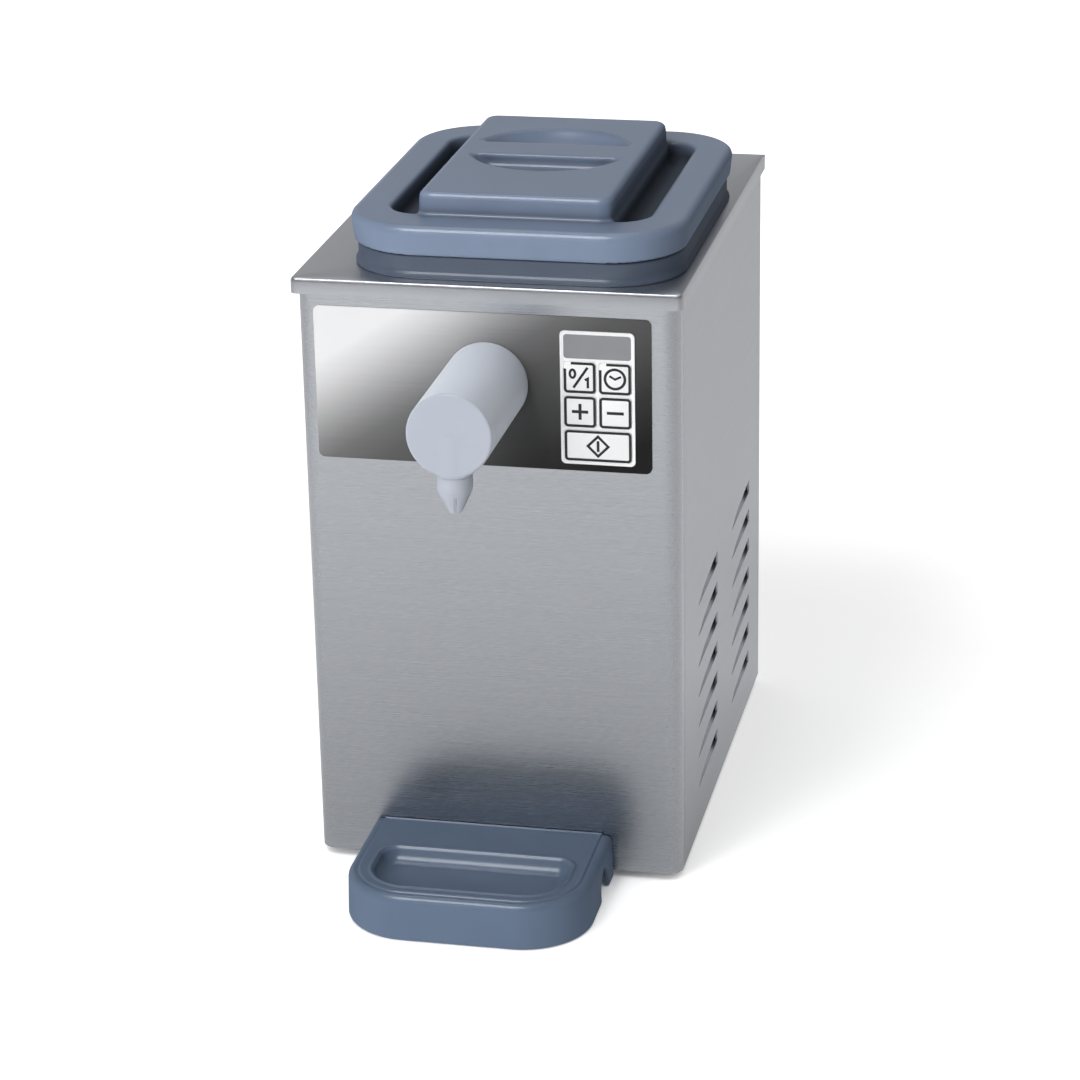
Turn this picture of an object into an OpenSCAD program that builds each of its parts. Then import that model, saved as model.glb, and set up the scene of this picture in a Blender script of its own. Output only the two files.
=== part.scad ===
// Countertop whipped cream dispenser: a chilled cream tank under a lid, a gear pump,
// a whipping head with a star tip on the front, and a drip tray before it.
// +Z is up, the front looks towards -Y, and the origin is on the table under the middle of the whole.

/* [Casing] */
// Width of the casing over its side panels
body_w = 240; // [232:1:300]
// Depth of the casing from front panel to rear panel
body_d = 330; // [322:1:400]
// Height of the casing from its underside to the top panel's upper face
body_h = 390; // [375:1:460]
// Thickness of the casing's sheet steel
sheet_t = 1.2; // [0.8:0.1:2]
// Outer radius of the two vertical front edges
corner_r = 10; // [6:1:16]
// Straight return of the front panel behind each rounded edge
wrap_return = 4; // [2:1:10]
// Open seam between front panel and side panel
seam = 0.4; // [0.2:0.1:0.8]
// Height of the top panel's folded lip
lip_h = 10; // [6:1:16]
// How far the lip stands out past the front and side panels
lip_over = 3; // [2:0.5:3]
// Corner radius of the lip
lip_r = 4; // [3:0.5:8]
// Width of each side panel's flange behind the rear panel
flange_w = 16; // [12:1:24]
// Height of the base pan's upstand
pan_h = 20; // [12:1:24]
// Radius of the pan's front corners
pan_r = 12; // [10:1:18]
// Height of a foot
foot_h = 5; // [4:0.5:8]
// Radius of a foot
foot_r = 14; // [8:1:18]
// Distance of a foot's axis from the casing's faces
foot_inset = 34; // [24:1:50]
// Clearance round a part that passes a hole or a window
hole_gap = 0.2; // [0.1:0.05:0.4]

/* [Louvres and grille] */
// Length of a louvre, from its pointed front end to its open rear end
louvre_len = 77; // [60:1:83]
// Radius of a louvre's pressed form
louvre_r = 11.5; // [10:0.5:13]
// How far a louvre's rear end is pressed into the panel
louvre_in = 4.4; // [3.5:0.1:5]
// Louvres in a column
louvre_rows = 7; // [3:1:8]
// Distance between louvres in a column
louvre_pitch = 21.5; // [18:0.5:22]
// Height of the lowest louvre above the casing's underside
louvre_z = 30; // [28:1:50]
// Start of the front column, behind the front panel
louvre_front = 68; // [52:1:81]
// Start of the rear column, behind the front panel
louvre_rear = 206; // [182:1:216]
// Length of a slot in the rear grille
slot_len = 56; // [30:1:70]
// Width of a slot in the rear grille
slot_w = 5; // [3:0.5:7]
// Slots in a column of the rear grille
slot_rows = 9; // [4:1:11]
// Distance between slots in a column
slot_pitch = 13; // [10:1:16]
// Distance of each slot column's middle from the casing's middle
slot_x = 40; // [38:1:48]
// Height of the lowest slot above the casing's underside
slot_z = 105; // [90:1:130]
// Radius of a panel screw's shank
screw_r = 2; // [1.5:0.25:3]
// Radius of a panel screw's head
screw_head_r = 4; // [3.5:0.25:5]
// Height of a panel screw's head
screw_head_h = 2; // [1:0.25:3]
// Length of a panel screw under its head
screw_len = 9; // [5:1:14]
// Distance of the top and bottom panel screws from the ends of the rear panel
screw_inset = 30; // [24:1:60]

/* [Fascia and keypad] */
// Distance of the fascia's sides inside the casing's width, at each side
fascia_side = 14; // [11:1:25]
// Height of the fascia plate
fascia_h = 99; // [94:1:104]
// Thickness of the fascia plate
fascia_t = 0.8; // [0.5:0.1:1.2]
// Corner radius of the fascia plate
fascia_r = 4; // [2:0.5:8]
// Fascia's middle, to the right of the casing's middle
fascia_x = -3; // [-6:1:6]
// Fascia's middle, below the casing's top
fascia_drop = 67; // [65:1:72]
// Side of a square key
key_size = 20; // [16:0.5:20]
// Gap between two keys
key_gap = 2; // [1.6:0.2:3]
// Corner radius of a key
key_r = 2; // [1:0.25:3]
// How far a key stands out of the bezel
key_proud = 0.6; // [0.3:0.1:1]
// How far a key travels in
key_travel = 0.7; // [0.4:0.1:0.8]
// Clearance round a key in its window
key_clear = 0.25; // [0.15:0.05:0.4]
// How far a key's flange reaches past the key, behind the bezel
key_flange = 0.6; // [0.4:0.1:0.7]
// Thickness of a key's flange
key_flange_t = 1.2; // [0.8:0.1:2]
// Clearance of a key's flange behind the bezel
key_play = 0.05; // [0.02:0.01:0.2]
// Height of the display
display_h = 15.4; // [12:0.2:16]
// Thickness of the display's window
display_t = 1.6; // [1:0.2:2]
// Border of the keypad round its keys
keypad_margin = 2.2; // [2:0.1:3]
// Keypad's middle, from the casing's right side
keypad_side = 50.5; // [48:0.5:54]
// Keypad's middle, below the casing's top
keypad_drop = 69; // [65:1:72]
// Corner radius of the keypad
bezel_r = 3; // [2:0.5:4]
// How far the bezel stands out of the fascia
bezel_proud = 0.4; // [0.2:0.1:1]
// Depth of the bezel behind the front panel
bezel_back = 2; // [1.2:0.2:4]
// How far the bezel's back flange reaches past the window
bezel_lip = 3; // [2:0.5:5]
// Width of the white outline round the keypad
outline_w = 1.2; // [0.8:0.1:1.4]
// Thickness of the white outline
outline_t = 0.3; // [0.2:0.1:0.5]
// Radius of a key switch
switch_r = 5; // [3:0.5:6]
// Height of a key switch on the board
switch_h = 2.5; // [1.5:0.5:4]
// Thickness of the control board
board_t = 1.6; // [1:0.2:2.4]
// Border of the control board round the bezel's flange
board_margin = 8; // [7:0.5:10]
// Radius of a post that carries the control board
post_r = 2.5; // [2:0.25:3]

/* [Dispensing head] */
// Head's axis, below the casing's top
head_drop = 62; // [60:1:66]
// Outer radius of the head
head_r = 26.25; // [25:0.25:30]
// Reach of the head in front of the panel
head_reach = 102; // [90:1:110]
// Wall of the head
head_wall = 3; // [2.5:0.25:4]
// Thickness of the head's front end
head_cap = 4; // [3:0.5:6]
// Gap between the head and the fascia
head_gap = 0.4; // [0.3:0.1:0.8]
// How far the socket stands out of the front panel
socket_out = 14; // [13:0.5:18]
// Thickness of the socket's flange behind the panel
socket_flange_t = 3; // [2:0.5:5]
// How far the socket's flange reaches past its tube
socket_flange = 6; // [4:0.5:8]
// Radius of the cream way from pump to head
cream_r = 7; // [5:0.5:8]
// Radial clearance of a turning or sliding fit
run_fit = 0.06; // [0.03:0.01:0.1]
// Width of a bayonet lug
lug_w = 3; // [2:0.5:4]
// How far a bayonet lug stands out of the socket
lug_h = 1.2; // [0.8:0.1:1.4]
// Distance of the lugs from the front panel
lug_out = 7; // [6:0.5:8]
// Clearance round a bayonet lug in its groove
lug_gap = 0.3; // [0.2:0.05:0.4]
// Turn that takes the lugs to their way out, in degrees
lug_turn = 45; // [30:5:80]
// Width of the head's sealing ring
seal_w = 2; // [1.5:0.25:2.5]
// Depth of the sealing ring's groove
seal_depth = 1.6; // [1:0.2:2.4]
// Distance from the seal to the socket's front end
seal_back = 1.5; // [1:0.25:2]
// Radius of the labyrinth's rod
core_rod_r = 5; // [3:0.5:8]
// Gap between the labyrinth's discs and the head
core_gap = 0.6; // [0.4:0.1:1]
// Number of discs on the labyrinth
core_discs = 7; // [4:1:9]
// Thickness of a labyrinth disc
core_disc_t = 2; // [1.5:0.5:3]
// Distance between labyrinth discs
core_pitch = 10; // [8:0.5:10]
// Radius of the holes in a labyrinth disc
core_hole_r = 3; // [2:0.5:4]

/* [Star tip] */
// Distance of the tip's axis behind the head's front end
tip_back = 12; // [12:0.5:18]
// Radius of the tip's upper part
tip_r = 11; // [10:0.5:12]
// Radius of the tip's lower end
tip_end_r = 4; // [3:0.25:6]
// Height of the tip
tip_h = 24; // [20:1:32]
// Straight height of the tip's upper part
tip_straight = 10; // [9:0.5:12]
// Radius of the hole in the tip's end
tip_hole_r = 2.2; // [1.5:0.1:2.6]
// Drop of the boss that the tip seats on, under the head
boss_drop = 1.2; // [0.8:0.1:3]
// Radius of the spigot that holds the tip
spigot_r = 8; // [7:0.25:9]
// Length of the spigot that holds the tip
spigot_len = 8; // [5:0.5:8]
// Radius of the spigot's bore
spigot_bore = 5.5; // [4:0.5:6]
// Gap between the tip and its seat
tip_gap = 0.1; // [0.05:0.05:0.3]
// Width of a slit in the tip
slit_w = 1.2; // [0.8:0.1:1.6]
// Height of a slit in the tip
slit_h = 12; // [8:0.5:13]
// Slits in the tip, two to each cut
slit_count = 6; // [4:2:8]

/* [Lid and collar] */
// Middle of the lid and tank, to the right of the casing's middle
lid_x = 12; // [0:0.5:13]
// Distance of the lid's front behind the front panel
lid_front = 2; // [0:0.5:6]
// Distance of the lid's sides inside the casing's width, at each side
lid_side = 13; // [12:0.5:17]
// Distance of the lid's rear end from the rear panel
lid_back = 72; // [62:0.5:76]
// Corner radius of the lid
lid_r = 48; // [40:1:52]
// Height of the lid's rim
rim_h = 18; // [17:0.5:22]
// Rounding of the rim's upper edge
rim_edge = 5; // [3:0.5:7]
// Width of the rim beside a channel
rim_w = 25; // [20:0.5:27]
// Distance of the raised block from the lid's ends
rim_d = 28; // [20:0.5:30]
// Corner radius of the raised block
block_r = 8; // [6:0.5:14]
// Height of the block above the rim
block_h = 14; // [12:0.5:20]
// Rounding of the block's upper edge
block_edge = 3; // [2:0.5:5]
// Width of the channel beside the block
channel_w = 20; // [14:0.5:22]
// Distance of a channel's ends from the block's ends
channel_in = 4; // [2:0.5:12]
// Depth of the channel under the rim's top
channel_depth = 14; // [8:0.5:15]
// Corner radius of the channel
channel_r = 6; // [3:0.5:7]
// Distance of the grips' round from the block's sides
grip_side = 10; // [8:0.5:20]
// Width of the bar between the two grips
grip_bar = 30; // [20:0.5:32]
// Depth of a grip
grip_depth = 9; // [6:0.5:10]
// How far the grips' middle lies behind the lid's middle
grip_back = 14; // [0:0.5:20]
// Wall left round the hollow under the block
lid_wall = 4; // [3:0.5:6]
// Height of the skirt under the lid
skirt_h = 5; // [4:0.25:5.5]
// Thickness of the skirt under the lid
skirt_t = 3; // [2:0.5:4]
// Clearance of the skirt in the collar's recess
skirt_gap = 1; // [0.5:0.1:1.5]
// Height of the gasket between lid and collar
gasket_h = 1.5; // [1:0.1:2.5]
// Width of the gasket
gasket_w = 3; // [2:0.25:4]
// Distance of the collar's sides inside the lid's
collar_side = 2; // [1:0.5:3]
// Distance of the collar's ends inside the lid's
collar_end = 4; // [2:0.5:6]
// Corner radius of the collar
collar_r = 46; // [40:1:48]
// Height of the collar
collar_h = 14.5; // [14:0.5:18]
// Height of the collar's inner ledge
ledge_h = 8; // [6:0.5:8]
// Wall of the collar round its recess
collar_wall = 7; // [5:0.5:8]
// Width of the pump's access opening
access_w = 112; // [100:1:116]
// Start of the access opening, behind the front panel
access_front = 22; // [20:0.5:26]
// End of the access opening, behind the front panel
access_rear = 86; // [80:1:87]
// How much the top panel's opening is wider than the collar's, at each side
access_rim = 2; // [1:0.5:3]

/* [Cream tank and well] */
// Distance of the cream tank's sides inside the casing's width, at each side
tank_side = 37; // [36:0.5:45]
// Front of the cream tank, behind the front panel
tank_front = 103; // [102:0.5:110]
// Corner radius of the cream tank
tank_r = 28; // [24:1:34]
// Wall of the cream tank
tank_wall = 1.5; // [1:0.1:2.5]
// Depth of the tank under the ledge that carries it
tank_depth = 112; // [100:1:114]
// Rear of the cream tank, before the rear panel
tank_back = 92; // [90:0.5:98]
// Width of the tank's flange
tank_flange = 5; // [3.5:0.5:6]
// Thickness of the tank's flange
tank_flange_t = 2; // [1.5:0.1:2]
// Gap between the tank and the collar's opening
tank_pass = 1; // [0.6:0.1:1.5]
// Gap between the tank and the well
tank_gap = 2; // [1.5:0.1:2.5]
// Gap under the tank in the well
tank_under = 1; // [0.5:0.1:2]
// Wall of the well
well_wall = 1; // [0.8:0.1:1.5]
// Width of the well's flange on the top panel
well_flange = 5; // [4:0.5:6]
// Thickness of the well's flange
well_flange_t = 1.5; // [1:0.1:2]
// Radius of the evaporator's tube
coil_r = 4; // [3:0.25:4.5]
// Loops of the evaporator
coil_loops = 4; // [3:1:4]
// Distance between loops of the evaporator
coil_pitch = 22; // [16:1:24]
// Height of the lowest loop above the well's floor
coil_z = 12; // [8:1:20]
// Gap between the evaporator and its neighbours
coil_gap = 0.2; // [0.1:0.05:0.4]
// Distance of each evaporator tail from the tank's middle
coil_tail = 35; // [30:1:40]
// Thickness of the insulation round the evaporator
foam_t = 10; // [6:0.5:11]
// Thickness of the insulation under the well
foam_floor = 28; // [26:1:32]

/* [Tank outlet] */
// Outlet's middle, behind the front panel
outlet_d = 126; // [124:1:140]
// Outer radius of the outlet tube
outlet_r = 8.5; // [7:0.25:9]
// Radius of the outlet's bore
outlet_bore = 6; // [4:0.5:6.5]
// Length of the outlet under the tank
outlet_len = 20; // [16:0.5:22]
// Radius of the outlet's flange in the tank
outlet_flange_r = 13; // [11:0.5:16]
// Thickness of the outlet's flange
outlet_flange_t = 1.5; // [1:0.1:2.5]
// Thickness of the outlet's sealing ring
ring_t = 0.8; // [0.5:0.1:1.2]
// Height of the outlet's sealing ring
ring_h = 3; // [2:0.5:4]
// Distance of the sealing ring from the outlet's lower end
ring_up = 4; // [3:0.5:5]
// Wall of the suction socket
suction_wall = 4; // [3:0.5:5]
// Floor under the outlet in the suction socket
suction_floor = 5; // [4:0.5:6]
// Outer radius of the suction pipe
pipe_r = 7; // [6:0.25:7.5]
// Wall of the suction pipe
pipe_wall = 2; // [1:0.25:2.5]
// Distance of the pipe's upright run behind the pump
pipe_back = 9; // [8.5:0.25:10]
// Clearance of the insulation round the suction pipe and the tails
foam_gap = 1; // [0.5:0.1:2]

/* [Pump and motor] */
// Middle of the pump, behind the front panel
pump_mid = 46; // [45:0.5:47]
// Teeth on each pump gear
gear_teeth = 12; // [10:1:14]
// Module of the pump gears
gear_module = 2.75; // [2.5:0.05:2.8]
// Height of the pump gears
gear_h = 24; // [16:1:28]
// Slack of the teeth, as a share of half a tooth
gear_slack = 0.08; // [0.06:0.01:0.12]
// Pressure angle of the teeth
gear_pressure = 20; // [20:1:24]
// Tooth height over the pitch circle, in modules
gear_add = 0.8; // [0.7:0.05:0.8]
// Tooth depth under the pitch circle, in modules
gear_ded = 1.1; // [1:0.05:1.2]
// Gap round the gears in the pump
gear_gap = 0.3; // [0.2:0.05:0.5]
// Wall of the pump round its gears
pump_wall = 6; // [4:0.5:6]
// Floor of the pump under its gears
pump_floor = 8; // [7:0.5:12]
// Thickness of the pump's cover
cover_t = 6; // [4:0.5:8]
// Radius of the pump's shafts
shaft_r = 6; // [4:0.25:7]
// Outer radius of the shaft seal
shaft_seal_r = 10; // [9:0.25:11]
// Height of the shaft seal
shaft_seal_h = 4; // [3:0.5:5]
// Radius of a leg under the pump
leg_r = 4; // [3:0.5:5]
// Radius of a cover screw's head
cover_screw_r = 3.5; // [3:0.25:4]
// Height of a cover screw's head
cover_screw_h = 3; // [2:0.5:4]
// Shelf's underside, below the casing's top
shelf_drop = 138; // [136:1:144]
// Thickness of the shelf
shelf_t = 2; // [1.5:0.25:3]
// Front edge of the shelf, behind the front panel
shelf_front = 18; // [17:0.5:20]
// Rear edge of the shelf, behind the front panel
shelf_rear = 80; // [78:1:81]
// Radius of the gear motor's gearbox
gearbox_r = 27; // [24:0.5:28]
// Height of the gearbox
gearbox_h = 36; // [30:1:45]
// Radius of the motor
motor_r = 25; // [20:0.5:27]
// Height of the motor
motor_h = 105; // [80:1:115]
// Depth of the motor shaft in the gearbox
motor_shaft_in = 20; // [10:1:28]
// Radius of the coupling
coupling_r = 11; // [9.5:0.5:13]
// Height of the coupling
coupling_h = 28; // [20:1:30]
// Distance of the coupling above the shelf
coupling_up = 8; // [4:0.5:12]
// Gap between the two shaft ends in the coupling
coupling_gap = 1; // [0.5:0.25:3]

/* [Drip tray] */
// Width of the drip tray
tray_w = 158; // [140:1:170]
// Reach of the drip tray in front of the panel
tray_reach = 110; // [108:1:130]
// Height of the drip tray
tray_h = 31.5; // [28:0.5:36]
// Tray's middle, to the right of the casing's middle
tray_x = -3; // [-6:1:6]
// Radius of the tray's front corners
tray_r = 44; // [36:1:54]
// Rounding of the tray's upper edge
tray_edge = 5; // [3:0.5:7]
// Wall of the tray
tray_wall = 3; // [2:0.25:4]
// Gap between the tray and the front panel
tray_gap = 0.4; // [0.3:0.1:1]
// Width of the basin
basin_w = 124; // [110:1:128]
// Length of the basin
basin_l = 52; // [46:1:54]
// Depth of the basin
basin_depth = 9; // [7:0.5:16]
// Distance of the basin's rear edge in front of the panel
basin_back = 42; // [40:1:46]
// Radius of the basin's front corners
basin_front_r = 30; // [24:1:34]
// Radius of the basin's rear corners
basin_rear_r = 10; // [6:0.5:14]
// Radius of a finger notch in the tray's side
notch_r = 12; // [8:0.5:13]
// Height of a finger notch's centre
notch_z = 7; // [4:0.5:9]
// Distance of a finger notch in front of the panel
notch_out = 27; // [22:0.5:34]
// Width of the tongue that holds the tray
tongue_w = 60; // [40:1:80]
// Reach of the tongue
tongue_reach = 24; // [14:1:30]
// Thickness of the tongue
tongue_t = 4; // [3:0.5:5]
// Height of the tongue above the casing's underside
tongue_z = 3; // [2:0.5:5]
// Clearance of the tongue in the tray
tongue_gap = 1; // [0.5:0.1:1.5]

/* [Cooling unit] */
// Distance of the compressor's shell from the casing's left side
compressor_side = 18; // [18:0.5:20]
// Compressor's middle, before the rear panel
compressor_back = 98; // [96:1:102]
// Radius of the compressor's shell
compressor_r = 52; // [44:1:54]
// Height of the compressor's shell
compressor_h = 112; // [95:1:125]
// Width of the compressor's base plate
base_w = 116; // [112:1:120]
// Depth of the compressor's base plate
base_d = 112; // [108:1:118]
// Thickness of the compressor's base plate
base_t = 3; // [2:0.5:4]
// Height of a rubber mount
mount_h = 14; // [8:1:20]
// Radius of a rubber mount
mount_r = 9; // [6:0.5:10]
// Radius of a compressor port
port_r = 4; // [3.5:0.25:6]
// Height of a compressor port above the shell
port_h = 13; // [8:1:20]
// Distance of the condenser from the casing's right side
condenser_side = 10; // [8:0.5:12]
// Thickness of the condenser
condenser_t = 24; // [18:0.5:25]
// Length of the condenser
condenser_l = 150; // [138:1:156]
// Height of the condenser
condenser_h = 176; // [160:1:186]
// Condenser's and fan's middle, before the rear panel
condenser_back = 117; // [115:1:122]
// Number of fins on the condenser
fin_count = 16; // [8:1:20]
// Thickness of a condenser fin
fin_t = 0.8; // [0.5:0.1:1.2]
// Thickness of a condenser end plate
end_t = 2; // [1:0.25:3]
// Tube rows of the condenser
tube_rows = 6; // [3:1:6]
// Radius of the condenser's tubes
tube_r = 4; // [3:0.25:5]
// Length of a tube stub behind the condenser
stub_l = 6; // [4:0.5:8]
// Thickness of the fan shroud
shroud_t = 4; // [2:0.5:6]
// Radius of the fan
fan_r = 60; // [50:1:64]
// Gap between the fan and its shroud
fan_gap = 3; // [2:0.5:5]
// Width of the fan's blades along its axis
fan_w = 14; // [10:0.5:16]
// Radius of the fan's hub
hub_r = 17; // [12:0.5:20]
// Number of fan blades
blade_count = 5; // [3:1:7]
// Thickness of a fan blade
blade_t = 1.6; // [1:0.2:2.5]
// Pitch of a fan blade
blade_pitch = 40; // [30:1:50]
// Radius of the fan motor
fan_motor_r = 22; // [16:0.5:26]
// Length of the fan motor
fan_motor_l = 28; // [20:1:30]
// Gap between the fan's hub and its motor
fan_motor_gap = 0.6; // [0.4:0.1:1.5]
// Radius of the fan's shaft
fan_shaft_r = 3; // [2:0.25:4]
// Depth of the fan's shaft in its motor
fan_shaft_in = 14; // [8:0.5:18]
// Side of a square arm that holds the fan motor
arm_t = 6; // [4:0.5:8]
// Radius of the filter drier
drier_r = 10; // [7:0.5:10]
// Length of the filter drier
drier_l = 90; // [60:1:110]
// Height of the drier's lower end above the casing's underside
drier_z = 55; // [50:1:70]
// Drier's middle, before the rear panel
drier_back = 26; // [24:0.5:30]
// Radius of the refrigerant lines
line_r = 3; // [2:0.25:3]
// How far a bend of the refrigerant lines stands out of its tubes
bend_swell = 0.3; // [0.2:0.1:0.5]
// Height of the upper refrigerant run above the casing's underside
line_z = 190; // [185:1:200]

/* [Electrics] */
// Width of the power supply box
supply_w = 48; // [30:1:52]
// Depth of the power supply box
supply_d = 100; // [60:1:120]
// Height of the power supply box
supply_h = 96; // [60:1:110]
// Left face of the power supply box, from the left side panel's inner face
supply_side = 6; // [4:0.5:12]
// Front of the power supply box, behind the front panel
supply_front = 28; // [24:1:34]
// Inlet's middle, to the right of the casing's middle
inlet_x = -72; // [-76:1:-60]
// Inlet's middle, above the casing's underside
inlet_z = 50; // [44:1:60]
// Width of the inlet's flange
inlet_flange_w = 50; // [48:0.5:54]
// Height of the inlet's flange
inlet_flange_h = 24; // [23:0.5:28]
// Thickness of the inlet's flange
inlet_flange_t = 1.8; // [1.2:0.1:2]
// Width of the inlet's body
inlet_w = 28; // [27:0.25:30]
// Height of the inlet's body
inlet_h = 20; // [19:0.25:22]
// Depth of the inlet's body behind the rear panel
inlet_l = 22; // [20:0.5:23]
// Width of the inlet's socket
inlet_mouth_w = 24; // [23.5:0.1:24.5]
// Height of the inlet's socket
inlet_mouth_h = 16; // [15.5:0.1:16.5]
// Depth of the inlet's socket
inlet_mouth_l = 17; // [16:0.5:18]
// Length of a contact pin in the inlet
pin_l = 11; // [9:0.5:12]
// Width of a contact pin
pin_w = 2; // [1.5:0.1:2.5]
// Height of a contact pin
pin_h = 4; // [3:0.25:4.5]
// Distance of the outer contact pins from the middle one
pin_pitch = 7; // [6.5:0.1:7.2]
// How far the middle contact pin lies below the other two
pin_drop = 4; // [3:0.25:4.5]

/* [Hidden] */
$fn = 64;

// Colours
steel = [0.62, 0.62, 0.63];
dark_steel = [0.45, 0.45, 0.47];
slate = [0.40, 0.46, 0.57];
dark_slate = [0.30, 0.35, 0.44];
milk = [0.86, 0.86, 0.94];
ink = [0.10, 0.10, 0.11];
white = [0.94, 0.94, 0.94];
grey = [0.55, 0.55, 0.56];
rubber = [0.08, 0.08, 0.08];
board_green = [0.10, 0.35, 0.20];
copper = [0.72, 0.43, 0.25];
foam = [0.85, 0.80, 0.62];
black_enamel = [0.06, 0.06, 0.07];

// Extra length of a cut past the face that it opens
over = 1;
// Overlap that makes two forms of one solid meet
hair = 0.01;
louvre_tilt = atan(louvre_in / louvre_len);

// Sizes that follow the casing's width, depth and height
fascia_w = body_w - 2 * fascia_side;
fascia_z = body_h - fascia_drop;
keypad_x = body_w / 2 - keypad_side;
keypad_z = body_h - keypad_drop;
head_z = body_h - head_drop;
shelf_z = body_h - shelf_drop;
lid_w = body_w - 2 * lid_side;
lid_d = body_d - lid_front - lid_back;
block_w = lid_w - 2 * rim_w - 2 * channel_w;
block_d = lid_d - 2 * rim_d;
channel_l = block_d - 2 * channel_in;
grip_r = block_w / 2 - grip_side;
collar_w = lid_w - 2 * collar_side;
collar_d = lid_d - 2 * collar_end;
tank_w = body_w - 2 * tank_side;
tank_d = body_d - tank_front - tank_back;
tank_mid = tank_front + tank_d / 2;
compressor_x = compressor_side + compressor_r - body_w / 2;
compressor_d = body_d - compressor_back;
condenser_x = body_w / 2 - condenser_side - condenser_t;
condenser_mid = body_d - condenser_back;
drier_d = body_d - drier_back;

// Casing levels
front_reach = max(tray_reach, head_reach);
front_y = (front_reach - body_d - screw_head_h) / 2;
rear_y = front_y + body_d;
top_z = foot_h + body_h;
under_top = top_z - sheet_t;
panel_h = body_h - sheet_t;
wrap_d = corner_r + wrap_return;
inner_w = body_w - 2 * sheet_t;
floor_z = foot_h + sheet_t;
slot_top = slot_rows - 1;
screw_x = body_w / 2 - flange_w / 2;
screw_z = [foot_h + screw_inset, foot_h + body_h / 2, top_z - screw_inset];

// Keypad levels
keypad_w = 2 * keypad_margin + 2 * key_size + key_gap;
keypad_h = 2 * keypad_margin + 3 * key_size + 3 * key_gap + display_h;
wide_key = 2 * key_size + key_gap;
keypad_mid = foot_h + keypad_z;
row_1_z = keypad_mid - keypad_h / 2 + keypad_margin + key_size / 2;
row_2_z = row_1_z + key_size + key_gap;
row_3_z = row_2_z + key_size + key_gap;
display_z = row_3_z + key_size / 2 + key_gap + display_h / 2;
column_x = (key_size + key_gap) / 2;
bezel_y = front_y - fascia_t - bezel_proud;
bezel_end = front_y + sheet_t + bezel_back;
key_y = bezel_y - key_proud;
key_end = bezel_end + key_play + key_flange_t;
switch_y = key_end + key_travel + key_play;
board_y = switch_y + switch_h;
board_w = keypad_w + 2 * bezel_lip + 2 * board_margin;
board_h = keypad_h + 2 * bezel_lip + 2 * board_margin;
post_inset = board_margin / 2;

// Lid, collar and tank levels
lid_mid = front_y + lid_front + lid_d / 2;
ledge_z = top_z + ledge_h;
collar_top = top_z + collar_h;
lid_z = collar_top + gasket_h;
recess_w = collar_w - 2 * collar_wall;
recess_d = collar_d - 2 * collar_wall;
recess_r = collar_r - collar_wall;
tank_y = front_y + tank_mid;
tank_z = ledge_z - tank_depth;
well_w = tank_w + 2 * tank_gap + 2 * well_wall;
well_d = tank_d + 2 * tank_gap + 2 * well_wall;
well_r = tank_r + tank_gap + well_wall;
well_z = tank_z - tank_under - well_wall;
coil_off = coil_r + coil_gap;
tail_y = tank_y + well_d / 2 + coil_off;
cavity_w = well_w + 4 * coil_off;
cavity_d = well_d + 4 * coil_off;
foam_z = well_z - coil_gap - foam_floor;
tail_end = foam_z - foam_gap;
access_mid = front_y + (access_front + access_rear) / 2;
access_d = access_rear - access_front;

// Pump levels
axis_z = foot_h + head_z;
pump_y = front_y + pump_mid;
gear_r = gear_module * gear_teeth / 2;
gear_tip_r = gear_r + gear_add * gear_module;
gear_root_r = gear_r - gear_ded * gear_module;
gear_base_r = gear_r * cos(gear_pressure);
pocket_r = gear_tip_r + gear_gap;
pump_half = pocket_r + pump_wall;
pump_w = 2 * gear_r + 2 * pump_half;
pump_top = axis_z + gear_h / 2 + gear_gap;
pocket_z = axis_z - gear_h / 2 - gear_gap;
pump_z = pocket_z - pump_floor;
shelf_top = foot_h + shelf_z + shelf_t;
leg_x = pump_w / 2 - leg_r;
leg_y = pump_half - leg_r;
coupling_z = shelf_top + coupling_up;
coupling_mid = coupling_z + coupling_h / 2;
shaft_top = pump_top - gear_gap;

// Head levels
head_in_r = head_r - head_wall;
socket_r = head_in_r - run_fit;
head_back = front_y - fascia_t - head_gap;
head_front = front_y - head_reach;
head_end = head_front + head_cap;
socket_front = front_y - socket_out;
seal_y = socket_front + seal_back;
core_r = head_in_r - core_gap;
tip_y = head_front + tip_back;
boss_z = axis_z - head_r - boss_drop;
tip_top = boss_z - tip_gap;

// Suction levels
outlet_y = front_y + outlet_d;
outlet_end = tank_z - outlet_len;
socket_bore = outlet_r + ring_t + run_fit;
suction_r = socket_bore + suction_wall;
suction_z = outlet_end - suction_floor;
suction_top = well_z - coil_gap;
pipe_z = suction_z + suction_wall + pipe_r;
pipe_y = pump_y + pump_half + pipe_back;

// Cooling levels, with the shape of the compressor's dome as shares of its height and radius
dome_low = 0.8;
dome_mid = 0.93;
dome_mid_r = 0.9;
dome_top_r = 0.4;
port_at = 0.75;
fan_y = front_y + condenser_mid;
fan_z = floor_z + condenser_h / 2;
fan_x = condenser_x - shroud_t - fan_w;
plate_z = floor_z + mount_h;
shell_z = plate_z + base_t;
port_top = shell_z + compressor_h + port_h;
compressor_y = front_y + compressor_d;
suction_port_x = lid_x - coil_tail;
discharge_port_x = compressor_x + compressor_r * port_at;
drier_x = lid_x + coil_tail;
drier_y = front_y + drier_d;
drier_low = foot_h + drier_z;
condenser_tube_x = condenser_x + condenser_t / 2;
tube_pitch = condenser_h / (tube_rows + 1);
stub_y = fan_y + condenser_l / 2 + stub_l;

// Shared shapes

// Rectangle with four round corners
module rounded_rect(w, d, r) {
  square([w - 2 * r, d], center = true);
  square([w, d - 2 * r], center = true);
  for (x = [-1, 1], y = [-1, 1])
    translate([x * (w / 2 - r), y * (d / 2 - r)])
      circle(r);
}

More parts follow.
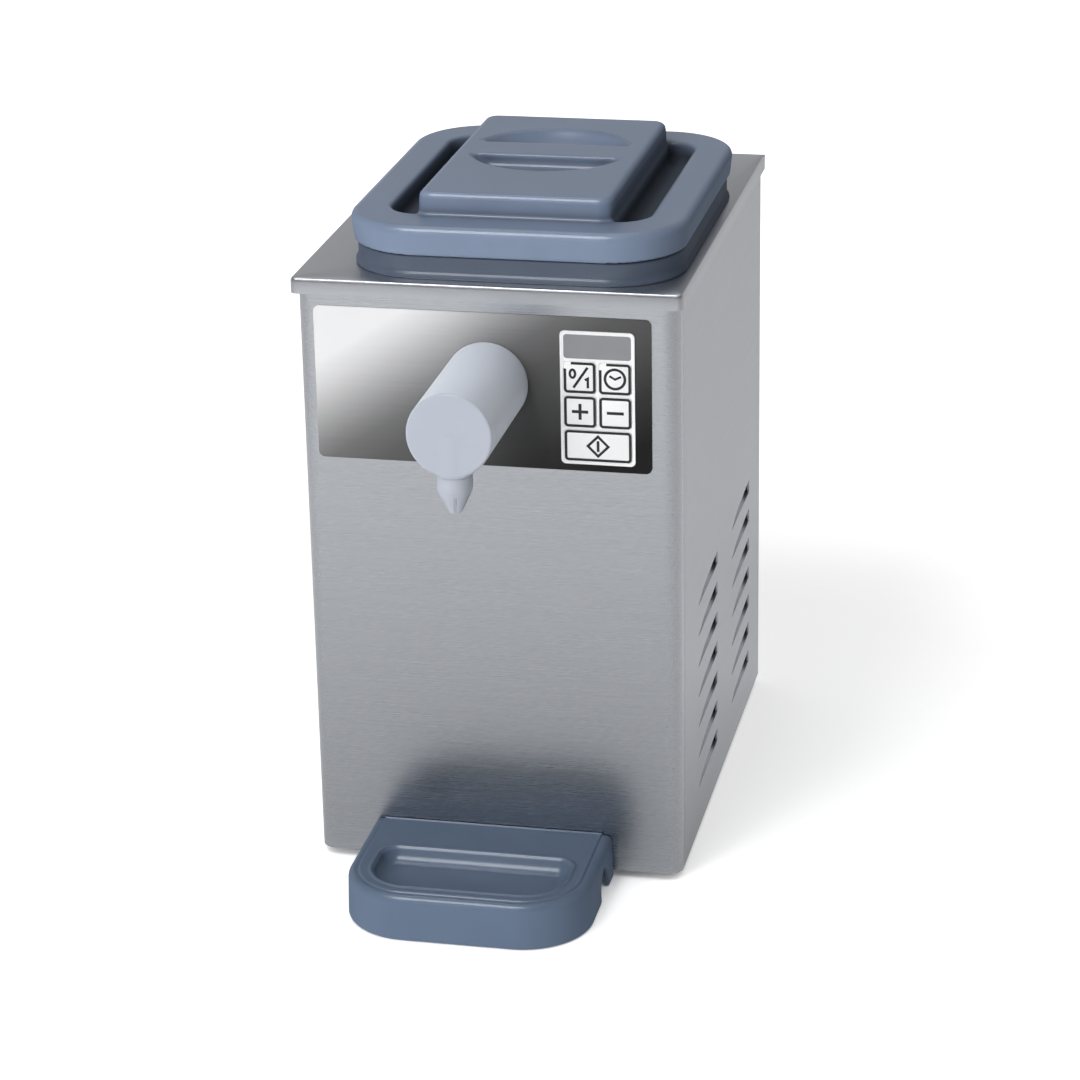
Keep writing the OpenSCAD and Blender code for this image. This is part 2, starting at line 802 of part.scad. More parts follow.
// Quarter of a disc, between +X and +Y
module quarter(r) {
  intersection() {
    circle(r);
    square(r);
  }
}

// Rectangle that starts at y = 0 and has only its two front corners round
module rounded_front(w, d, r) {
  translate([-w / 2, r])
    square([w, d - r]);
  translate([-w / 2 + r, 0])
    square([w - 2 * r, d]);
  for (side = [0, 1])
    mirror([side, 0])
      translate([w / 2 - r, r])
        mirror([0, 1])
          quarter(r);
}

// Section from a corner's axis to the outside, with a round upper edge
module edge_section(r, h, e) {
  square([r, h - e]);
  square([r - e, h]);
  translate([r - e, h - e])
    circle(e);
}

// Slab with round corners and a round upper edge
module soft_slab(w, d, r, h, e) {
  linear_extrude(h)
    square([w - 2 * r, d - 2 * r], center = true);
  for (turn = [0, 180], side = [[w, d, 0], [d, w, 90]])
    rotate(turn + side[2])
      translate([side[0] / 2 - r, 0, 0]) {
        rotate([90, 0, 0])
          linear_extrude(side[1] - 2 * r, center = true)
            edge_section(r, h, e);
        translate([0, side[1] / 2 - r, 0])
          rotate_extrude(angle = 90)
            edge_section(r, h, e);
      }
}

// Drawing in X and Z, made t thick from y towards the rear
module plate_y(y, t) {
  translate([0, y + t, 0])
    rotate([90, 0, 0])
      linear_extrude(t)
        children();
}

// Cylinder along Y from y towards the rear, on the axis x, z
module rod_y(x, y, z, r, l) {
  translate([x, y, z])
    rotate([-90, 0, 0])
      cylinder(r = r, h = l);
}

// Cylinder along X from x towards the right, on the axis y, z
module rod_x(x, y, z, r, l) {
  translate([x, y, z])
    rotate([0, 90, 0])
      cylinder(r = r, h = l);
}

// Cylinder along Z from z upwards
module rod_z(x, y, z, r, l) {
  translate([x, y, z])
    cylinder(r = r, h = l);
}

// Flat slot with round ends, along X
module slot(l, w) {
  square([l - w, w], center = true);
  for (x = [-1, 1])
    translate([x * (l - w) / 2, 0])
      circle(w / 2);
}

// Round bar from point to point with ball corners that stand out by swell
module bar_run(points, r, swell = 0) {
  for (i = [0 : len(points) - 2]) {
    run = points[i + 1] - points[i];
    translate(points[i])
      rotate([0, acos(run.z / norm(run)), atan2(run.y, run.x)])
        cylinder(r = r, h = norm(run));
  }
  for (i = [1 : len(points) - 2])
    translate(points[i])
      sphere(r + swell);
}

// Casing

module base_pan() {
  color(dark_steel)
  translate([0, front_y + sheet_t, foot_h])
    difference() {
      linear_extrude(pan_h)
        rounded_front(inner_w, body_d - 3 * sheet_t, pan_r);
      translate([0, sheet_t, sheet_t])
        linear_extrude(pan_h)
          rounded_front(inner_w - 2 * sheet_t, body_d - 5 * sheet_t, pan_r - sheet_t);
    }
}

module front_panel() {
  color(steel)
  difference() {
    translate([0, front_y, foot_h])
      linear_extrude(panel_h)
        difference() {
          rounded_front(body_w, wrap_d, corner_r);
          translate([0, sheet_t])
            rounded_front(inner_w, wrap_d, corner_r - sheet_t);
        }
    rod_y(0, front_y - over, axis_z, socket_r + hole_gap, sheet_t + 2 * over);
    plate_y(front_y - over, sheet_t + 2 * over)
      bezel_window();
  }
}

module louvre_form(r, len) {
  translate([0, len, 0])
    rotate([90, 0, louvre_tilt])
      cylinder(r = r, h = louvre_len + 2 * louvre_r);
}

module each_louvre() {
  for (d = [louvre_front, louvre_rear], row = [0 : louvre_rows - 1])
    translate([body_w / 2 + louvre_r - louvre_in, front_y + d, foot_h + louvre_z + row * louvre_pitch])
      children();
}

module side_panel() {
  side_l = body_d - wrap_d - seam - sheet_t;
  box = louvre_len + 4 * louvre_r;
  difference() {
    union() {
      translate([body_w / 2 - sheet_t, front_y + wrap_d + seam, foot_h])
        cube([sheet_t, side_l, panel_h]);
      translate([body_w / 2 - flange_w, rear_y - 2 * sheet_t, foot_h])
        cube([flange_w, sheet_t, panel_h]);
      each_louvre()
        intersection() {
          louvre_form(louvre_r + sheet_t, louvre_len - hair);
          translate([-2 * louvre_r, -2 * louvre_r, -sheet_t])
            cube([louvre_r + louvre_in, box, 3 * louvre_r]);
        }
    }
    each_louvre()
      intersection() {
        louvre_form(louvre_r, louvre_len);
        translate([-2 * louvre_r, -2 * louvre_r, 0])
          cube([4 * louvre_r, box, 2 * louvre_r]);
      }
    for (z = screw_z)
      rod_y(screw_x, rear_y - 2 * sheet_t - over, z, screw_r + hole_gap, sheet_t + 2 * over);
  }
}

module side_panel_right() {
  color(steel)
  side_panel();
}

module side_panel_left() {
  color(steel)
  mirror([1, 0, 0])
    side_panel();
}

module rear_panel() {
  color(steel)
  plate_y(rear_y - sheet_t, sheet_t)
    difference() {
      translate([-body_w / 2, foot_h])
        square([body_w, panel_h]);
      for (x = [-slot_x, slot_x], row = [0 : slot_top])
        translate([x, foot_h + slot_z + row * slot_pitch])
          slot(slot_len, slot_w);
      for (x = [-screw_x, screw_x], z = screw_z)
        translate([x, z])
          circle(screw_r + hole_gap);
      translate([inlet_x, foot_h + inlet_z])
        square([inlet_w + 2 * hole_gap, inlet_h + 2 * hole_gap], center = true);
    }
}

module top_panel() {
  lip_w = body_w + 2 * lip_over;
  color(steel)
  difference() {
    translate([0, front_y - lip_over, top_z - lip_h])
      linear_extrude(lip_h)
        rounded_front(lip_w, body_d + lip_over, lip_r);
    translate([0, front_y - lip_over + sheet_t, top_z - lip_h - over])
      linear_extrude(lip_h + over - sheet_t)
        rounded_front(lip_w - 2 * sheet_t, body_d + lip_over, lip_r - sheet_t);
    translate([lid_x, tank_y, under_top - over])
      linear_extrude(sheet_t + 2 * over)
        rounded_rect(well_w + 2 * hole_gap, well_d + 2 * hole_gap, well_r + hole_gap);
    translate([0, access_mid, top_z - sheet_t / 2])
      cube([access_w + 2 * access_rim, access_d + 2 * access_rim, sheet_t + 2 * over], center = true);
  }
}

module feet() {
  color(rubber)
  for (x = [-1, 1], y = [front_y + foot_inset, rear_y - foot_inset])
    rod_z(x * (body_w / 2 - foot_inset), y, 0, foot_r, foot_h);
}

module panel_screws() {
  color(grey)
  for (x = [-screw_x, screw_x], z = screw_z) {
    rod_y(x, rear_y, z, screw_head_r, screw_head_h);
    rod_y(x, rear_y - screw_len, z, screw_r, screw_len);
  }
}

// Fascia and keypad

module bezel_window() {
  translate([keypad_x, keypad_mid])
    rounded_rect(keypad_w + 2 * hole_gap, keypad_h + 2 * hole_gap, bezel_r + hole_gap);
}

module fascia_plate() {
  color(grey)
  plate_y(front_y - fascia_t, fascia_t)
    difference() {
      translate([fascia_x, foot_h + fascia_z])
        rounded_rect(fascia_w, fascia_h, fascia_r);
      translate([0, axis_z])
        circle(socket_r + hole_gap);
      bezel_window();
    }
}

// Key windows and the display window, widened by gap all round
module key_windows(gap) {
  for (x = [-column_x, column_x], z = [row_2_z, row_3_z])
    translate([keypad_x + x, z])
      rounded_rect(key_size + 2 * gap, key_size + 2 * gap, key_r + gap);
  translate([keypad_x, row_1_z])
    rounded_rect(wide_key + 2 * gap, key_size + 2 * gap, key_r + gap);
}

module display_shape() {
  translate([keypad_x, display_z])
    rounded_rect(wide_key, display_h, key_r);
}

module keypad_bezel() {
  color(ink)
  difference() {
    union() {
      plate_y(bezel_y, bezel_end - bezel_y)
        translate([keypad_x, keypad_mid])
          rounded_rect(keypad_w, keypad_h, bezel_r);
      plate_y(front_y + sheet_t, bezel_back)
        translate([keypad_x, keypad_mid])
          rounded_rect(keypad_w + 2 * bezel_lip, keypad_h + 2 * bezel_lip, bezel_r);
    }
    plate_y(bezel_y - over, bezel_end - bezel_y + 2 * over) {
      key_windows(key_clear);
      display_shape();
    }
  }
}

module keypad_outline() {
  color(white)
  plate_y(bezel_y - outline_t, outline_t)
    translate([keypad_x, keypad_mid])
      difference() {
        rounded_rect(keypad_w, keypad_h, bezel_r);
        rounded_rect(keypad_w - 2 * outline_w, keypad_h - 2 * outline_w, bezel_r - outline_w);
      }
}

module display_window() {
  color(grey)
  plate_y(bezel_y, display_t)
    display_shape();
}

module key(x, z, w) {
  color(white) {
    plate_y(key_y, key_end - key_y)
      translate([keypad_x + x, z])
        rounded_rect(w, key_size, key_r);
    plate_y(key_end - key_flange_t, key_flange_t)
      translate([keypad_x + x, z])
        rounded_rect(w + 2 * key_flange, key_size + 2 * key_flange, key_r);
  }
}

module key_power() {
  key(-column_x, row_3_z, key_size);
}

module key_timer() {
  key(column_x, row_3_z, key_size);
}

module key_plus() {
  key(-column_x, row_2_z, key_size);
}

module key_minus() {
  key(column_x, row_2_z, key_size);
}

module key_start() {
  key(0, row_1_z, wide_key);
}

module key_switches() {
  color(grey) {
    for (x = [-column_x, column_x], z = [row_2_z, row_3_z])
      rod_y(keypad_x + x, switch_y, z, switch_r, switch_h);
    rod_y(keypad_x, switch_y, row_1_z, switch_r, switch_h);
  }
}

module control_board() {
  color(board_green)
  plate_y(board_y, board_t)
    translate([keypad_x, keypad_mid])
      square([board_w, board_h], center = true);
}

module board_posts() {
  color(grey)
  for (x = [-1, 1], z = [-1, 1])
    rod_y(keypad_x + x * (board_w / 2 - post_inset), front_y + sheet_t,
      keypad_mid + z * (board_h / 2 - post_inset), post_r, board_y - front_y - sheet_t);
}

module display_module() {
  color(dark_steel)
  plate_y(bezel_y + display_t, board_y - bezel_y - display_t)
    display_shape();
}

// Lid, collar and tank

module lid() {
  block_z = lid_z + rim_h - block_edge - hair;
  lid_top = lid_z + rim_h + block_h;
  channel_x = block_w / 2 + channel_w / 2;
  color(slate)
  difference() {
    union() {
      translate([lid_x, lid_mid, lid_z])
        soft_slab(lid_w, lid_d, lid_r, rim_h, rim_edge);
      translate([lid_x, lid_mid, block_z])
        soft_slab(block_w, block_d, block_r, lid_top - block_z, block_edge);
      translate([lid_x, lid_mid, lid_z - skirt_h])
        linear_extrude(skirt_h + hair)
          rounded_rect(recess_w - 2 * skirt_gap, recess_d - 2 * skirt_gap, recess_r - skirt_gap);
    }
    translate([lid_x, lid_mid, lid_z - skirt_h - over])
      linear_extrude(skirt_h + over)
        rounded_rect(recess_w - 2 * skirt_gap - 2 * skirt_t, recess_d - 2 * skirt_gap - 2 * skirt_t,
          recess_r - skirt_gap - skirt_t);
    translate([lid_x, lid_mid, lid_z - over])
      linear_extrude(rim_h + over)
        rounded_rect(block_w - 2 * lid_wall, block_d - 2 * lid_wall, block_r - lid_wall / 2);
    for (side = [-1, 1])
      translate([lid_x + side * channel_x, lid_mid, lid_z + rim_h - channel_depth])
        linear_extrude(channel_depth + over)
          rounded_rect(channel_w, channel_l, channel_r);
    translate([lid_x, lid_mid + grip_back, lid_top - grip_depth])
      linear_extrude(grip_depth + over)
        difference() {
          circle(grip_r);
          square([2 * grip_r + over, grip_bar], center = true);
        }
  }
}

module lid_gasket() {
  gasket_out = collar_w - collar_wall + gasket_w;
  gasket_long = collar_d - collar_wall + gasket_w;
  color(rubber)
  translate([lid_x, lid_mid, collar_top])
    linear_extrude(gasket_h)
      difference() {
        rounded_rect(gasket_out, gasket_long, collar_r - (collar_wall - gasket_w) / 2);
        rounded_rect(gasket_out - 2 * gasket_w, gasket_long - 2 * gasket_w,
          collar_r - (collar_wall + gasket_w) / 2);
      }
}

module tank_collar() {
  flange_gap = 2 * well_flange + 2 * hole_gap;
  color(dark_slate)
  difference() {
    translate([lid_x, lid_mid, top_z])
      linear_extrude(collar_h)
        rounded_rect(collar_w, collar_d, collar_r);
    translate([lid_x, lid_mid, ledge_z])
      linear_extrude(collar_h)
        rounded_rect(recess_w, recess_d, recess_r);
    translate([lid_x, tank_y, top_z - over])
      linear_extrude(collar_h)
        rounded_rect(tank_w + 2 * tank_pass, tank_d + 2 * tank_pass, tank_r + tank_pass);
    translate([lid_x, tank_y, top_z - over])
      linear_extrude(well_flange_t + over)
        rounded_rect(well_w + flange_gap, well_d + flange_gap, well_r + flange_gap / 2);
    translate([0, access_mid, top_z])
      cube([access_w, access_d, 2 * collar_h], center = true);
  }
}

module cream_tank() {
  color(steel)
  difference() {
    union() {
      translate([lid_x, tank_y, tank_z])
        linear_extrude(tank_depth + tank_flange_t)
          rounded_rect(tank_w, tank_d, tank_r);
      translate([lid_x, tank_y, ledge_z])
        linear_extrude(tank_flange_t)
          rounded_rect(tank_w + 2 * tank_flange, tank_d + 2 * tank_flange, tank_r + tank_flange);
    }
    translate([lid_x, tank_y, tank_z + tank_wall])
      linear_extrude(tank_depth + tank_flange_t)
        rounded_rect(tank_w - 2 * tank_wall, tank_d - 2 * tank_wall, tank_r - tank_wall);
    rod_z(0, outlet_y, tank_z - over, outlet_r, tank_wall + 2 * over);
  }
}

module tank_outlet() {
  flange_z = tank_z + tank_wall;
  color(grey)
  difference() {
    union() {
      rod_z(0, outlet_y, outlet_end, outlet_r, flange_z - outlet_end);
      rod_z(0, outlet_y, flange_z, outlet_flange_r, outlet_flange_t);
    }
    rod_z(0, outlet_y, outlet_end - over, outlet_bore, outlet_len + tank_wall + outlet_flange_t + 2 * over);
  }
}

module outlet_ring() {
  color(rubber)
  difference() {
    rod_z(0, outlet_y, outlet_end + ring_up, outlet_r + ring_t, ring_h);
    rod_z(0, outlet_y, outlet_end + ring_up - over, outlet_r, ring_h + 2 * over);
  }
}

module tank_well() {
  well_h = top_z - well_z;
  color(grey)
  difference() {
    union() {
      translate([lid_x, tank_y, well_z])
        linear_extrude(well_h + well_flange_t)
          rounded_rect(well_w, well_d, well_r);
      translate([lid_x, tank_y, top_z])
        linear_extrude(well_flange_t)
          rounded_rect(well_w + 2 * well_flange, well_d + 2 * well_flange, well_r + well_flange);
    }
    translate([lid_x, tank_y, well_z + well_wall])
      linear_extrude(well_h + well_flange_t)
        rounded_rect(well_w - 2 * well_wall, well_d - 2 * well_wall, well_r - well_wall);
    rod_z(0, outlet_y, well_z - over, socket_bore + hole_gap, well_wall + 2 * over);
  }
}

// One loop of the evaporator round the well
module coil_loop() {
  for (x = [-1, 1])
    translate([x * (well_w / 2 + coil_off), 0, 0])
      rotate([90, 0, 0])
        cylinder(r = coil_r, h = well_d - 2 * well_r, center = true);
  for (y = [-1, 1])
    translate([0, y * (well_d / 2 + coil_off), 0])
      rotate([0, 90, 0])
        cylinder(r = coil_r, h = well_w - 2 * well_r, center = true);
  for (turn = [0 : 3])
    rotate(turn * 90)
      translate((turn % 2 == 0)
        ? [well_w / 2 - well_r, well_d / 2 - well_r, 0]
        : [well_d / 2 - well_r, well_w / 2 - well_r, 0])
        rotate_extrude(angle = 90)
          translate([well_r + coil_off, 0])
            circle(coil_r);
}

module evaporator_coil() {
  low = well_z + coil_z;
  color(copper) {
    for (i = [0 : coil_loops - 1])
      translate([lid_x, tank_y, low + i * coil_pitch])
        coil_loop();
    rod_z(lid_x - coil_tail, tail_y, tail_end, line_r, low + (coil_loops - 1) * coil_pitch - tail_end);
    rod_z(lid_x + coil_tail, tail_y, tail_end, line_r, low - tail_end);
  }
}

module well_insulation() {
  pipe_cut = pipe_r + foam_gap;
  foam_top = under_top - coil_gap;
  color(foam)
  difference() {
    translate([lid_x, tank_y, foam_z])
      linear_extrude(foam_top - foam_z)
        rounded_rect(cavity_w + 2 * foam_t, cavity_d + 2 * foam_t, well_r + foam_t);
    translate([lid_x, tank_y, foam_z + foam_floor])
      linear_extrude(foam_top - foam_z)
        rounded_rect(cavity_w, cavity_d, well_r + coil_off);
    translate([-suction_r - foam_gap, tank_y - well_d / 2 - 3 * foam_t, foam_z - over])
      cube([2 * (suction_r + foam_gap), outlet_y - tank_y + well_d / 2 + 3 * foam_t + suction_r + foam_gap,
        foam_floor + 2 * over]);
    translate([-pipe_cut, pipe_y - pipe_cut, foam_z])
      cube([2 * pipe_cut, 2 * pipe_cut, axis_z + pipe_cut - foam_z]);
    for (x = [-coil_tail, coil_tail])
      rod_z(lid_x + x, tail_y, foam_z - over, line_r + foam_gap, foam_floor + 2 * over);
  }
}

// Suction pipe, pump and motor

module suction_pipe() {
  route = [[0, pump_y + pump_half, axis_z], [0, pipe_y, axis_z],
    [0, pipe_y, pipe_z], [0, outlet_y, pipe_z]];
  color(grey)
  difference() {
    union() {
      bar_run(route, pipe_r);
      rod_z(0, outlet_y, suction_z, suction_r, suction_top - suction_z);
    }
    bar_run(route, pipe_r - pipe_wall);
    rod_y(0, pump_y + pump_half - over, axis_z, pipe_r - pipe_wall, 2 * over);
    rod_z(0, outlet_y, suction_z + suction_floor - tank_under, socket_bore, suction_top - suction_z);
  }
}

module pump_body() {
  color(steel)
  difference() {
    union() {
      translate([-pump_w / 2, pump_y - pump_half, pump_z])
        cube([pump_w, 2 * pump_half, pump_top - pump_z]);
      for (x = [-leg_x, leg_x], y = [-leg_y, leg_y])
        rod_z(x, pump_y + y, shelf_top, leg_r, pump_z - shelf_top + hair);
    }
    for (x = [-gear_r, gear_r])
      rod_z(x, pump_y, pocket_z, pocket_r, gear_h + 2 * over);
    rod_y(0, pump_y - pump_half - over, axis_z, cream_r, pump_half + over);
    rod_y(0, pump_y, axis_z, pipe_r - pipe_wall, pump_half + over);
    rod_z(-gear_r, pump_y, pump_z - over, shaft_r + run_fit, pump_floor + 2 * over);
    rod_z(-gear_r, pump_y, pump_z - over, shaft_seal_r, shaft_seal_h + over);
    rod_z(gear_r, pump_y, pump_z - over, shaft_r, pump_floor + 2 * over);
  }
}

module pump_cover() {
  color(grey)
  translate([-pump_w / 2, pump_y - pump_half, pump_top])
    cube([pump_w, 2 * pump_half, cover_t]);
}

module cover_screws() {
  color(dark_steel)
  for (x = [-leg_x, leg_x], y = [-leg_y, leg_y])
    rod_z(x, pump_y + y, pump_top + cover_t, cover_screw_r, cover_screw_h);
}

function involute_angle(a) = tan(a) * 180 / PI - a;
function tooth_half(r) = 90 / gear_teeth * (1 - gear_slack) + involute_angle(gear_pressure)
  - involute_angle(acos(min(1, gear_base_r / r)));
function on_circle(r, a) = [r * cos(a), r * sin(a)];

// Radii at which a tooth's flank has points
flank = [for (i = [0 : 4]) gear_base_r + (gear_tip_r - gear_base_r) * i / 4];

module gear_outline() {
  pitch = 360 / gear_teeth;
  root_half = tooth_half(gear_base_r);
  polygon([
    for (i = [0 : gear_teeth - 1])
      each concat(
        [on_circle(gear_root_r, i * pitch - root_half)],
        [for (r = flank) on_circle(r, i * pitch - tooth_half(r))],
        [for (k = [4 : -1 : 0]) on_circle(flank[k], i * pitch + tooth_half(flank[k]))],
        [on_circle(gear_root_r, i * pitch + root_half)])
  ]);
}

module pump_gear(x, turn, bore) {
  translate([x, pump_y, axis_z - gear_h / 2])
    linear_extrude(gear_h)
      difference() {
        rotate(turn)
          gear_outline();
        circle(bore);
      }
}

module drive_gear() {
  color(milk)
  pump_gear(-gear_r, 0, shaft_r);
}

module driven_gear() {
  color(milk)
  pump_gear(gear_r, 180 + 180 / gear_teeth, shaft_r + run_fit);
}

module drive_shaft() {
  low = coupling_mid + coupling_gap / 2;
  color(grey)
  rod_z(-gear_r, pump_y, low, shaft_r, shaft_top - low);
}

module driven_axle() {
  color(grey)
  rod_z(gear_r, pump_y, pump_z, shaft_r, shaft_top - pump_z);
}

module shaft_seal() {
  color(rubber)
  difference() {
    rod_z(-gear_r, pump_y, pump_z, shaft_seal_r, shaft_seal_h);
    rod_z(-gear_r, pump_y, pump_z - over, shaft_r + run_fit, shaft_seal_h + 2 * over);
  }
}

module shaft_coupling() {
  color(dark_steel)
  difference() {
    rod_z(-gear_r, pump_y, coupling_z, coupling_r, coupling_h);
    rod_z(-gear_r, pump_y, coupling_z - over, shaft_r, coupling_h + 2 * over);
  }
}

module motor_shaft() {
  low = foot_h + shelf_z - motor_shaft_in;
  color(grey)
  rod_z(-gear_r, pump_y, low, shaft_r, coupling_mid - coupling_gap / 2 - low);
}

module gear_motor() {
  box_z = foot_h + shelf_z - gearbox_h;
  color(dark_steel)
  difference() {
    union() {
      rod_z(-gear_r, pump_y, box_z, gearbox_r, gearbox_h);
      rod_z(-gear_r, pump_y, box_z - motor_h, motor_r, motor_h + hair);
    }
    rod_z(-gear_r, pump_y, foot_h + shelf_z - motor_shaft_in - over, shaft_r + run_fit,
      motor_shaft_in + 2 * over);
  }
}

module pump_shelf() {
  color(grey)
  difference() {
    translate([-inner_w / 2, front_y + shelf_front, foot_h + shelf_z])
      cube([inner_w, shelf_rear - shelf_front, shelf_t]);
    rod_z(-gear_r, pump_y, foot_h + shelf_z - over, coupling_r, shelf_t + 2 * over);
  }
}

// Dispensing head

module head_socket() {
  color(milk)
  difference() {
    union() {
      rod_y(0, socket_front, axis_z, socket_r, pump_y - pump_half - socket_front);
      rod_y(0, front_y + sheet_t, axis_z, socket_r + socket_flange, socket_flange_t);
      intersection() {
        rod_y(0, front_y - lug_out - lug_w / 2, axis_z, socket_r + lug_h, lug_w);
        translate([0, front_y - lug_out, axis_z])
          cube([3 * head_r, lug_w, 2 * lug_w], center = true);
      }
    }
    rod_y(0, socket_front - over, axis_z, cream_r, pump_y - pump_half - socket_front + 2 * over);
    difference() {
      rod_y(0, seal_y, axis_z, socket_r + over, seal_w + 2 * hole_gap);
      rod_y(0, seal_y - over, axis_z, socket_r - seal_depth, seal_w + 2 * over + 2 * hole_gap);
    }
  }
}

module head_ring() {
  color(rubber)
  difference() {
    rod_y(0, seal_y + hole_gap, axis_z, socket_r, seal_w);
    rod_y(0, seal_y + hole_gap - over, axis_z, socket_r - seal_depth + hole_gap / 2, seal_w + 2 * over);
  }
}

module labyrinth_core() {
  color(milk)
  difference() {
    union() {
      rod_y(0, head_end + over, axis_z, core_rod_r, socket_front - head_end - over);
      for (i = [0 : core_discs - 1])
        rod_y(0, socket_front - core_disc_t - i * core_pitch, axis_z, core_r, core_disc_t);
    }
    for (i = [0 : core_discs - 1], turn = [0 : 3])
      translate([0, socket_front - core_disc_t - i * core_pitch - over / 2, axis_z])
        rotate([0, 45 * i + 90 * turn, 0])
          rod_y((core_rod_r + core_r) / 2, 0, 0, core_hole_r, core_disc_t + over);
  }
}

module dispensing_head() {
  groove_r = socket_r + lug_h + lug_gap;
  groove_w = lug_w + 2 * lug_gap;
  color(milk)
  difference() {
    union() {
      rod_y(0, head_front, axis_z, head_r, head_back - head_front);
      rod_z(0, tip_y, boss_z, tip_r, axis_z - boss_z);
      rod_z(0, tip_y, boss_z - spigot_len, spigot_r, axis_z - boss_z + spigot_len);
    }
    rod_y(0, head_end, axis_z, head_in_r, head_back - head_end + over);
    rod_z(0, tip_y, boss_z - spigot_len - over, spigot_bore, axis_z - boss_z + spigot_len);
    rod_y(0, front_y - lug_out - groove_w / 2, axis_z, groove_r, groove_w);
    intersection() {
      rod_y(0, front_y - lug_out, axis_z, groove_r, lug_out + over);
      translate([0, front_y - lug_out + lug_out / 2 + over / 2, axis_z])
        rotate([0, -lug_turn, 0])
          cube([3 * head_r, lug_out + over, 2 * lug_w + 4 * lug_gap], center = true);
    }
  }
}

module star_tip() {
  seat_r = spigot_r + run_fit;
  seat_h = spigot_len + tip_gap;
  color(milk)
  translate([0, tip_y, tip_top])
    difference() {
      rotate_extrude()
        polygon([[seat_r, 0], [tip_r, 0], [tip_r, -tip_straight], [tip_end_r, -tip_h],
          [tip_hole_r, -tip_h], [spigot_bore, -seat_h], [seat_r, -seat_h]]);
      for (turn = [0 : slit_count / 2 - 1])
        rotate(turn * 360 / slit_count)
          translate([-tip_r, -slit_w / 2, -tip_h - over])
            cube([2 * tip_r, slit_w, slit_h + over]);
    }
}

// Drip tray

// Basin outline, widened by wall all round, in front of the panel
module basin_shape(wall) {
  half = basin_w / 2 + wall;
  front_r = basin_front_r + wall;
  rear_r = basin_rear_r + wall;
  length = basin_l + 2 * wall;
  translate([tray_x, front_y - basin_back + wall - length]) {
    translate([-half + front_r, 0])
      square([2 * (half - front_r), front_r]);
    translate([-half, front_r])
      square([2 * half, length - front_r - rear_r]);
    translate([-half + rear_r, length - rear_r])
      square([2 * (half - rear_r), rear_r]);
    for (side = [0, 1])
      mirror([side, 0]) {
        translate([half - front_r, front_r])
          mirror([0, 1])
            quarter(front_r);
        translate([half - rear_r, length - rear_r])
          quarter(rear_r);
      }
  }
}

module drip_tray() {
  tray_l = tray_reach - tray_gap;
  tray_back = front_y - tray_gap;
  floor_low = tray_h - basin_depth - tray_wall;
  slot_wide = tongue_w + 2 * tongue_gap;
  color(slate)
  difference() {
    intersection() {
      translate([tray_x, tray_back, 0])
        soft_slab(tray_w, 2 * tray_l, tray_r, tray_h, tray_edge);
      translate([tray_x - tray_w, tray_back - 2 * tray_l, -over])
        cube([2 * tray_w, 2 * tray_l, tray_h + 2 * over]);
    }
    translate([0, 0, tray_h - basin_depth])
      linear_extrude(basin_depth + over)
        basin_shape(0);
    difference() {
      translate([tray_x, tray_back - tray_l + tray_wall, -over])
        linear_extrude(tray_h - tray_edge + over)
          rounded_front(tray_w - 2 * tray_wall, tray_l - 2 * tray_wall, tray_r - tray_wall);
      translate([0, 0, floor_low])
        linear_extrude(tray_h)
          basin_shape(tray_wall);
    }
    rod_x(tray_x - tray_w, front_y - notch_out, notch_z, notch_r, 2 * tray_w);
    translate([tray_x - tray_w, front_y - notch_out - notch_r, -over])
      cube([2 * tray_w, 2 * notch_r, notch_z + over]);
    translate([tray_x - slot_wide / 2, tray_back - 2 * tray_wall, -over])
      cube([slot_wide, 2 * tray_wall + over, foot_h + tongue_z + tongue_t + tongue_gap + over]);
  }
}

module tray_tongue() {
  color(dark_steel)
  translate([tray_x - tongue_w / 2, front_y - tongue_reach, foot_h + tongue_z])
    cube([tongue_w, tongue_reach, tongue_t]);
}

// Cooling unit

module compressor() {
  shoulder = compressor_h * dome_low;
  color(black_enamel) {
    translate([compressor_x - base_w / 2, compressor_y - base_d / 2, plate_z])
      cube([base_w, base_d, base_t]);
    translate([compressor_x, compressor_y, shell_z - hair])
      rotate_extrude()
        polygon([[0, 0], [compressor_r, 0], [compressor_r, shoulder],
          [compressor_r * dome_mid_r, compressor_h * dome_mid],
          [compressor_r * dome_top_r, compressor_h], [0, compressor_h]]);
    rod_z(suction_port_x, tail_y, shell_z + shoulder / 2, port_r, port_top - shell_z - shoulder / 2);
    rod_z(discharge_port_x, compressor_y, shell_z + shoulder / 2, port_r, port_top - shell_z - shoulder / 2);
  }
}

module compressor_mounts() {
  color(rubber)
  for (x = [-1, 1], y = [-1, 1])
    rod_z(compressor_x + x * (base_w / 2 - mount_r), compressor_y + y * (base_d / 2 - mount_r),
      floor_z, mount_r, mount_h);
}

module condenser() {
  fin_pitch = (condenser_l - end_t) / (fin_count + 1);
  start = fan_y - condenser_l / 2;
  color(grey) {
    for (y = [start, start + condenser_l - end_t])
      translate([condenser_x, y, floor_z])
        cube([condenser_t, end_t, condenser_h]);
    for (i = [1 : fin_count])
      translate([condenser_x, start + i * fin_pitch, floor_z])
        cube([condenser_t, fin_t, condenser_h]);
    for (row = [1 : tube_rows])
      rod_y(condenser_tube_x, start, floor_z + row * tube_pitch, tube_r, condenser_l);
    for (row = [1, tube_rows])
      rod_y(condenser_tube_x, start, floor_z + row * tube_pitch, line_r, condenser_l + stub_l);
  }
}

module fan_shroud() {
  color(dark_steel)
  difference() {
    translate([condenser_x - shroud_t, fan_y - condenser_l / 2, floor_z])
      cube([shroud_t, condenser_l, condenser_h]);
    rod_x(condenser_x - shroud_t - over, fan_y, fan_z, fan_r + fan_gap, shroud_t + 2 * over);
  }
}

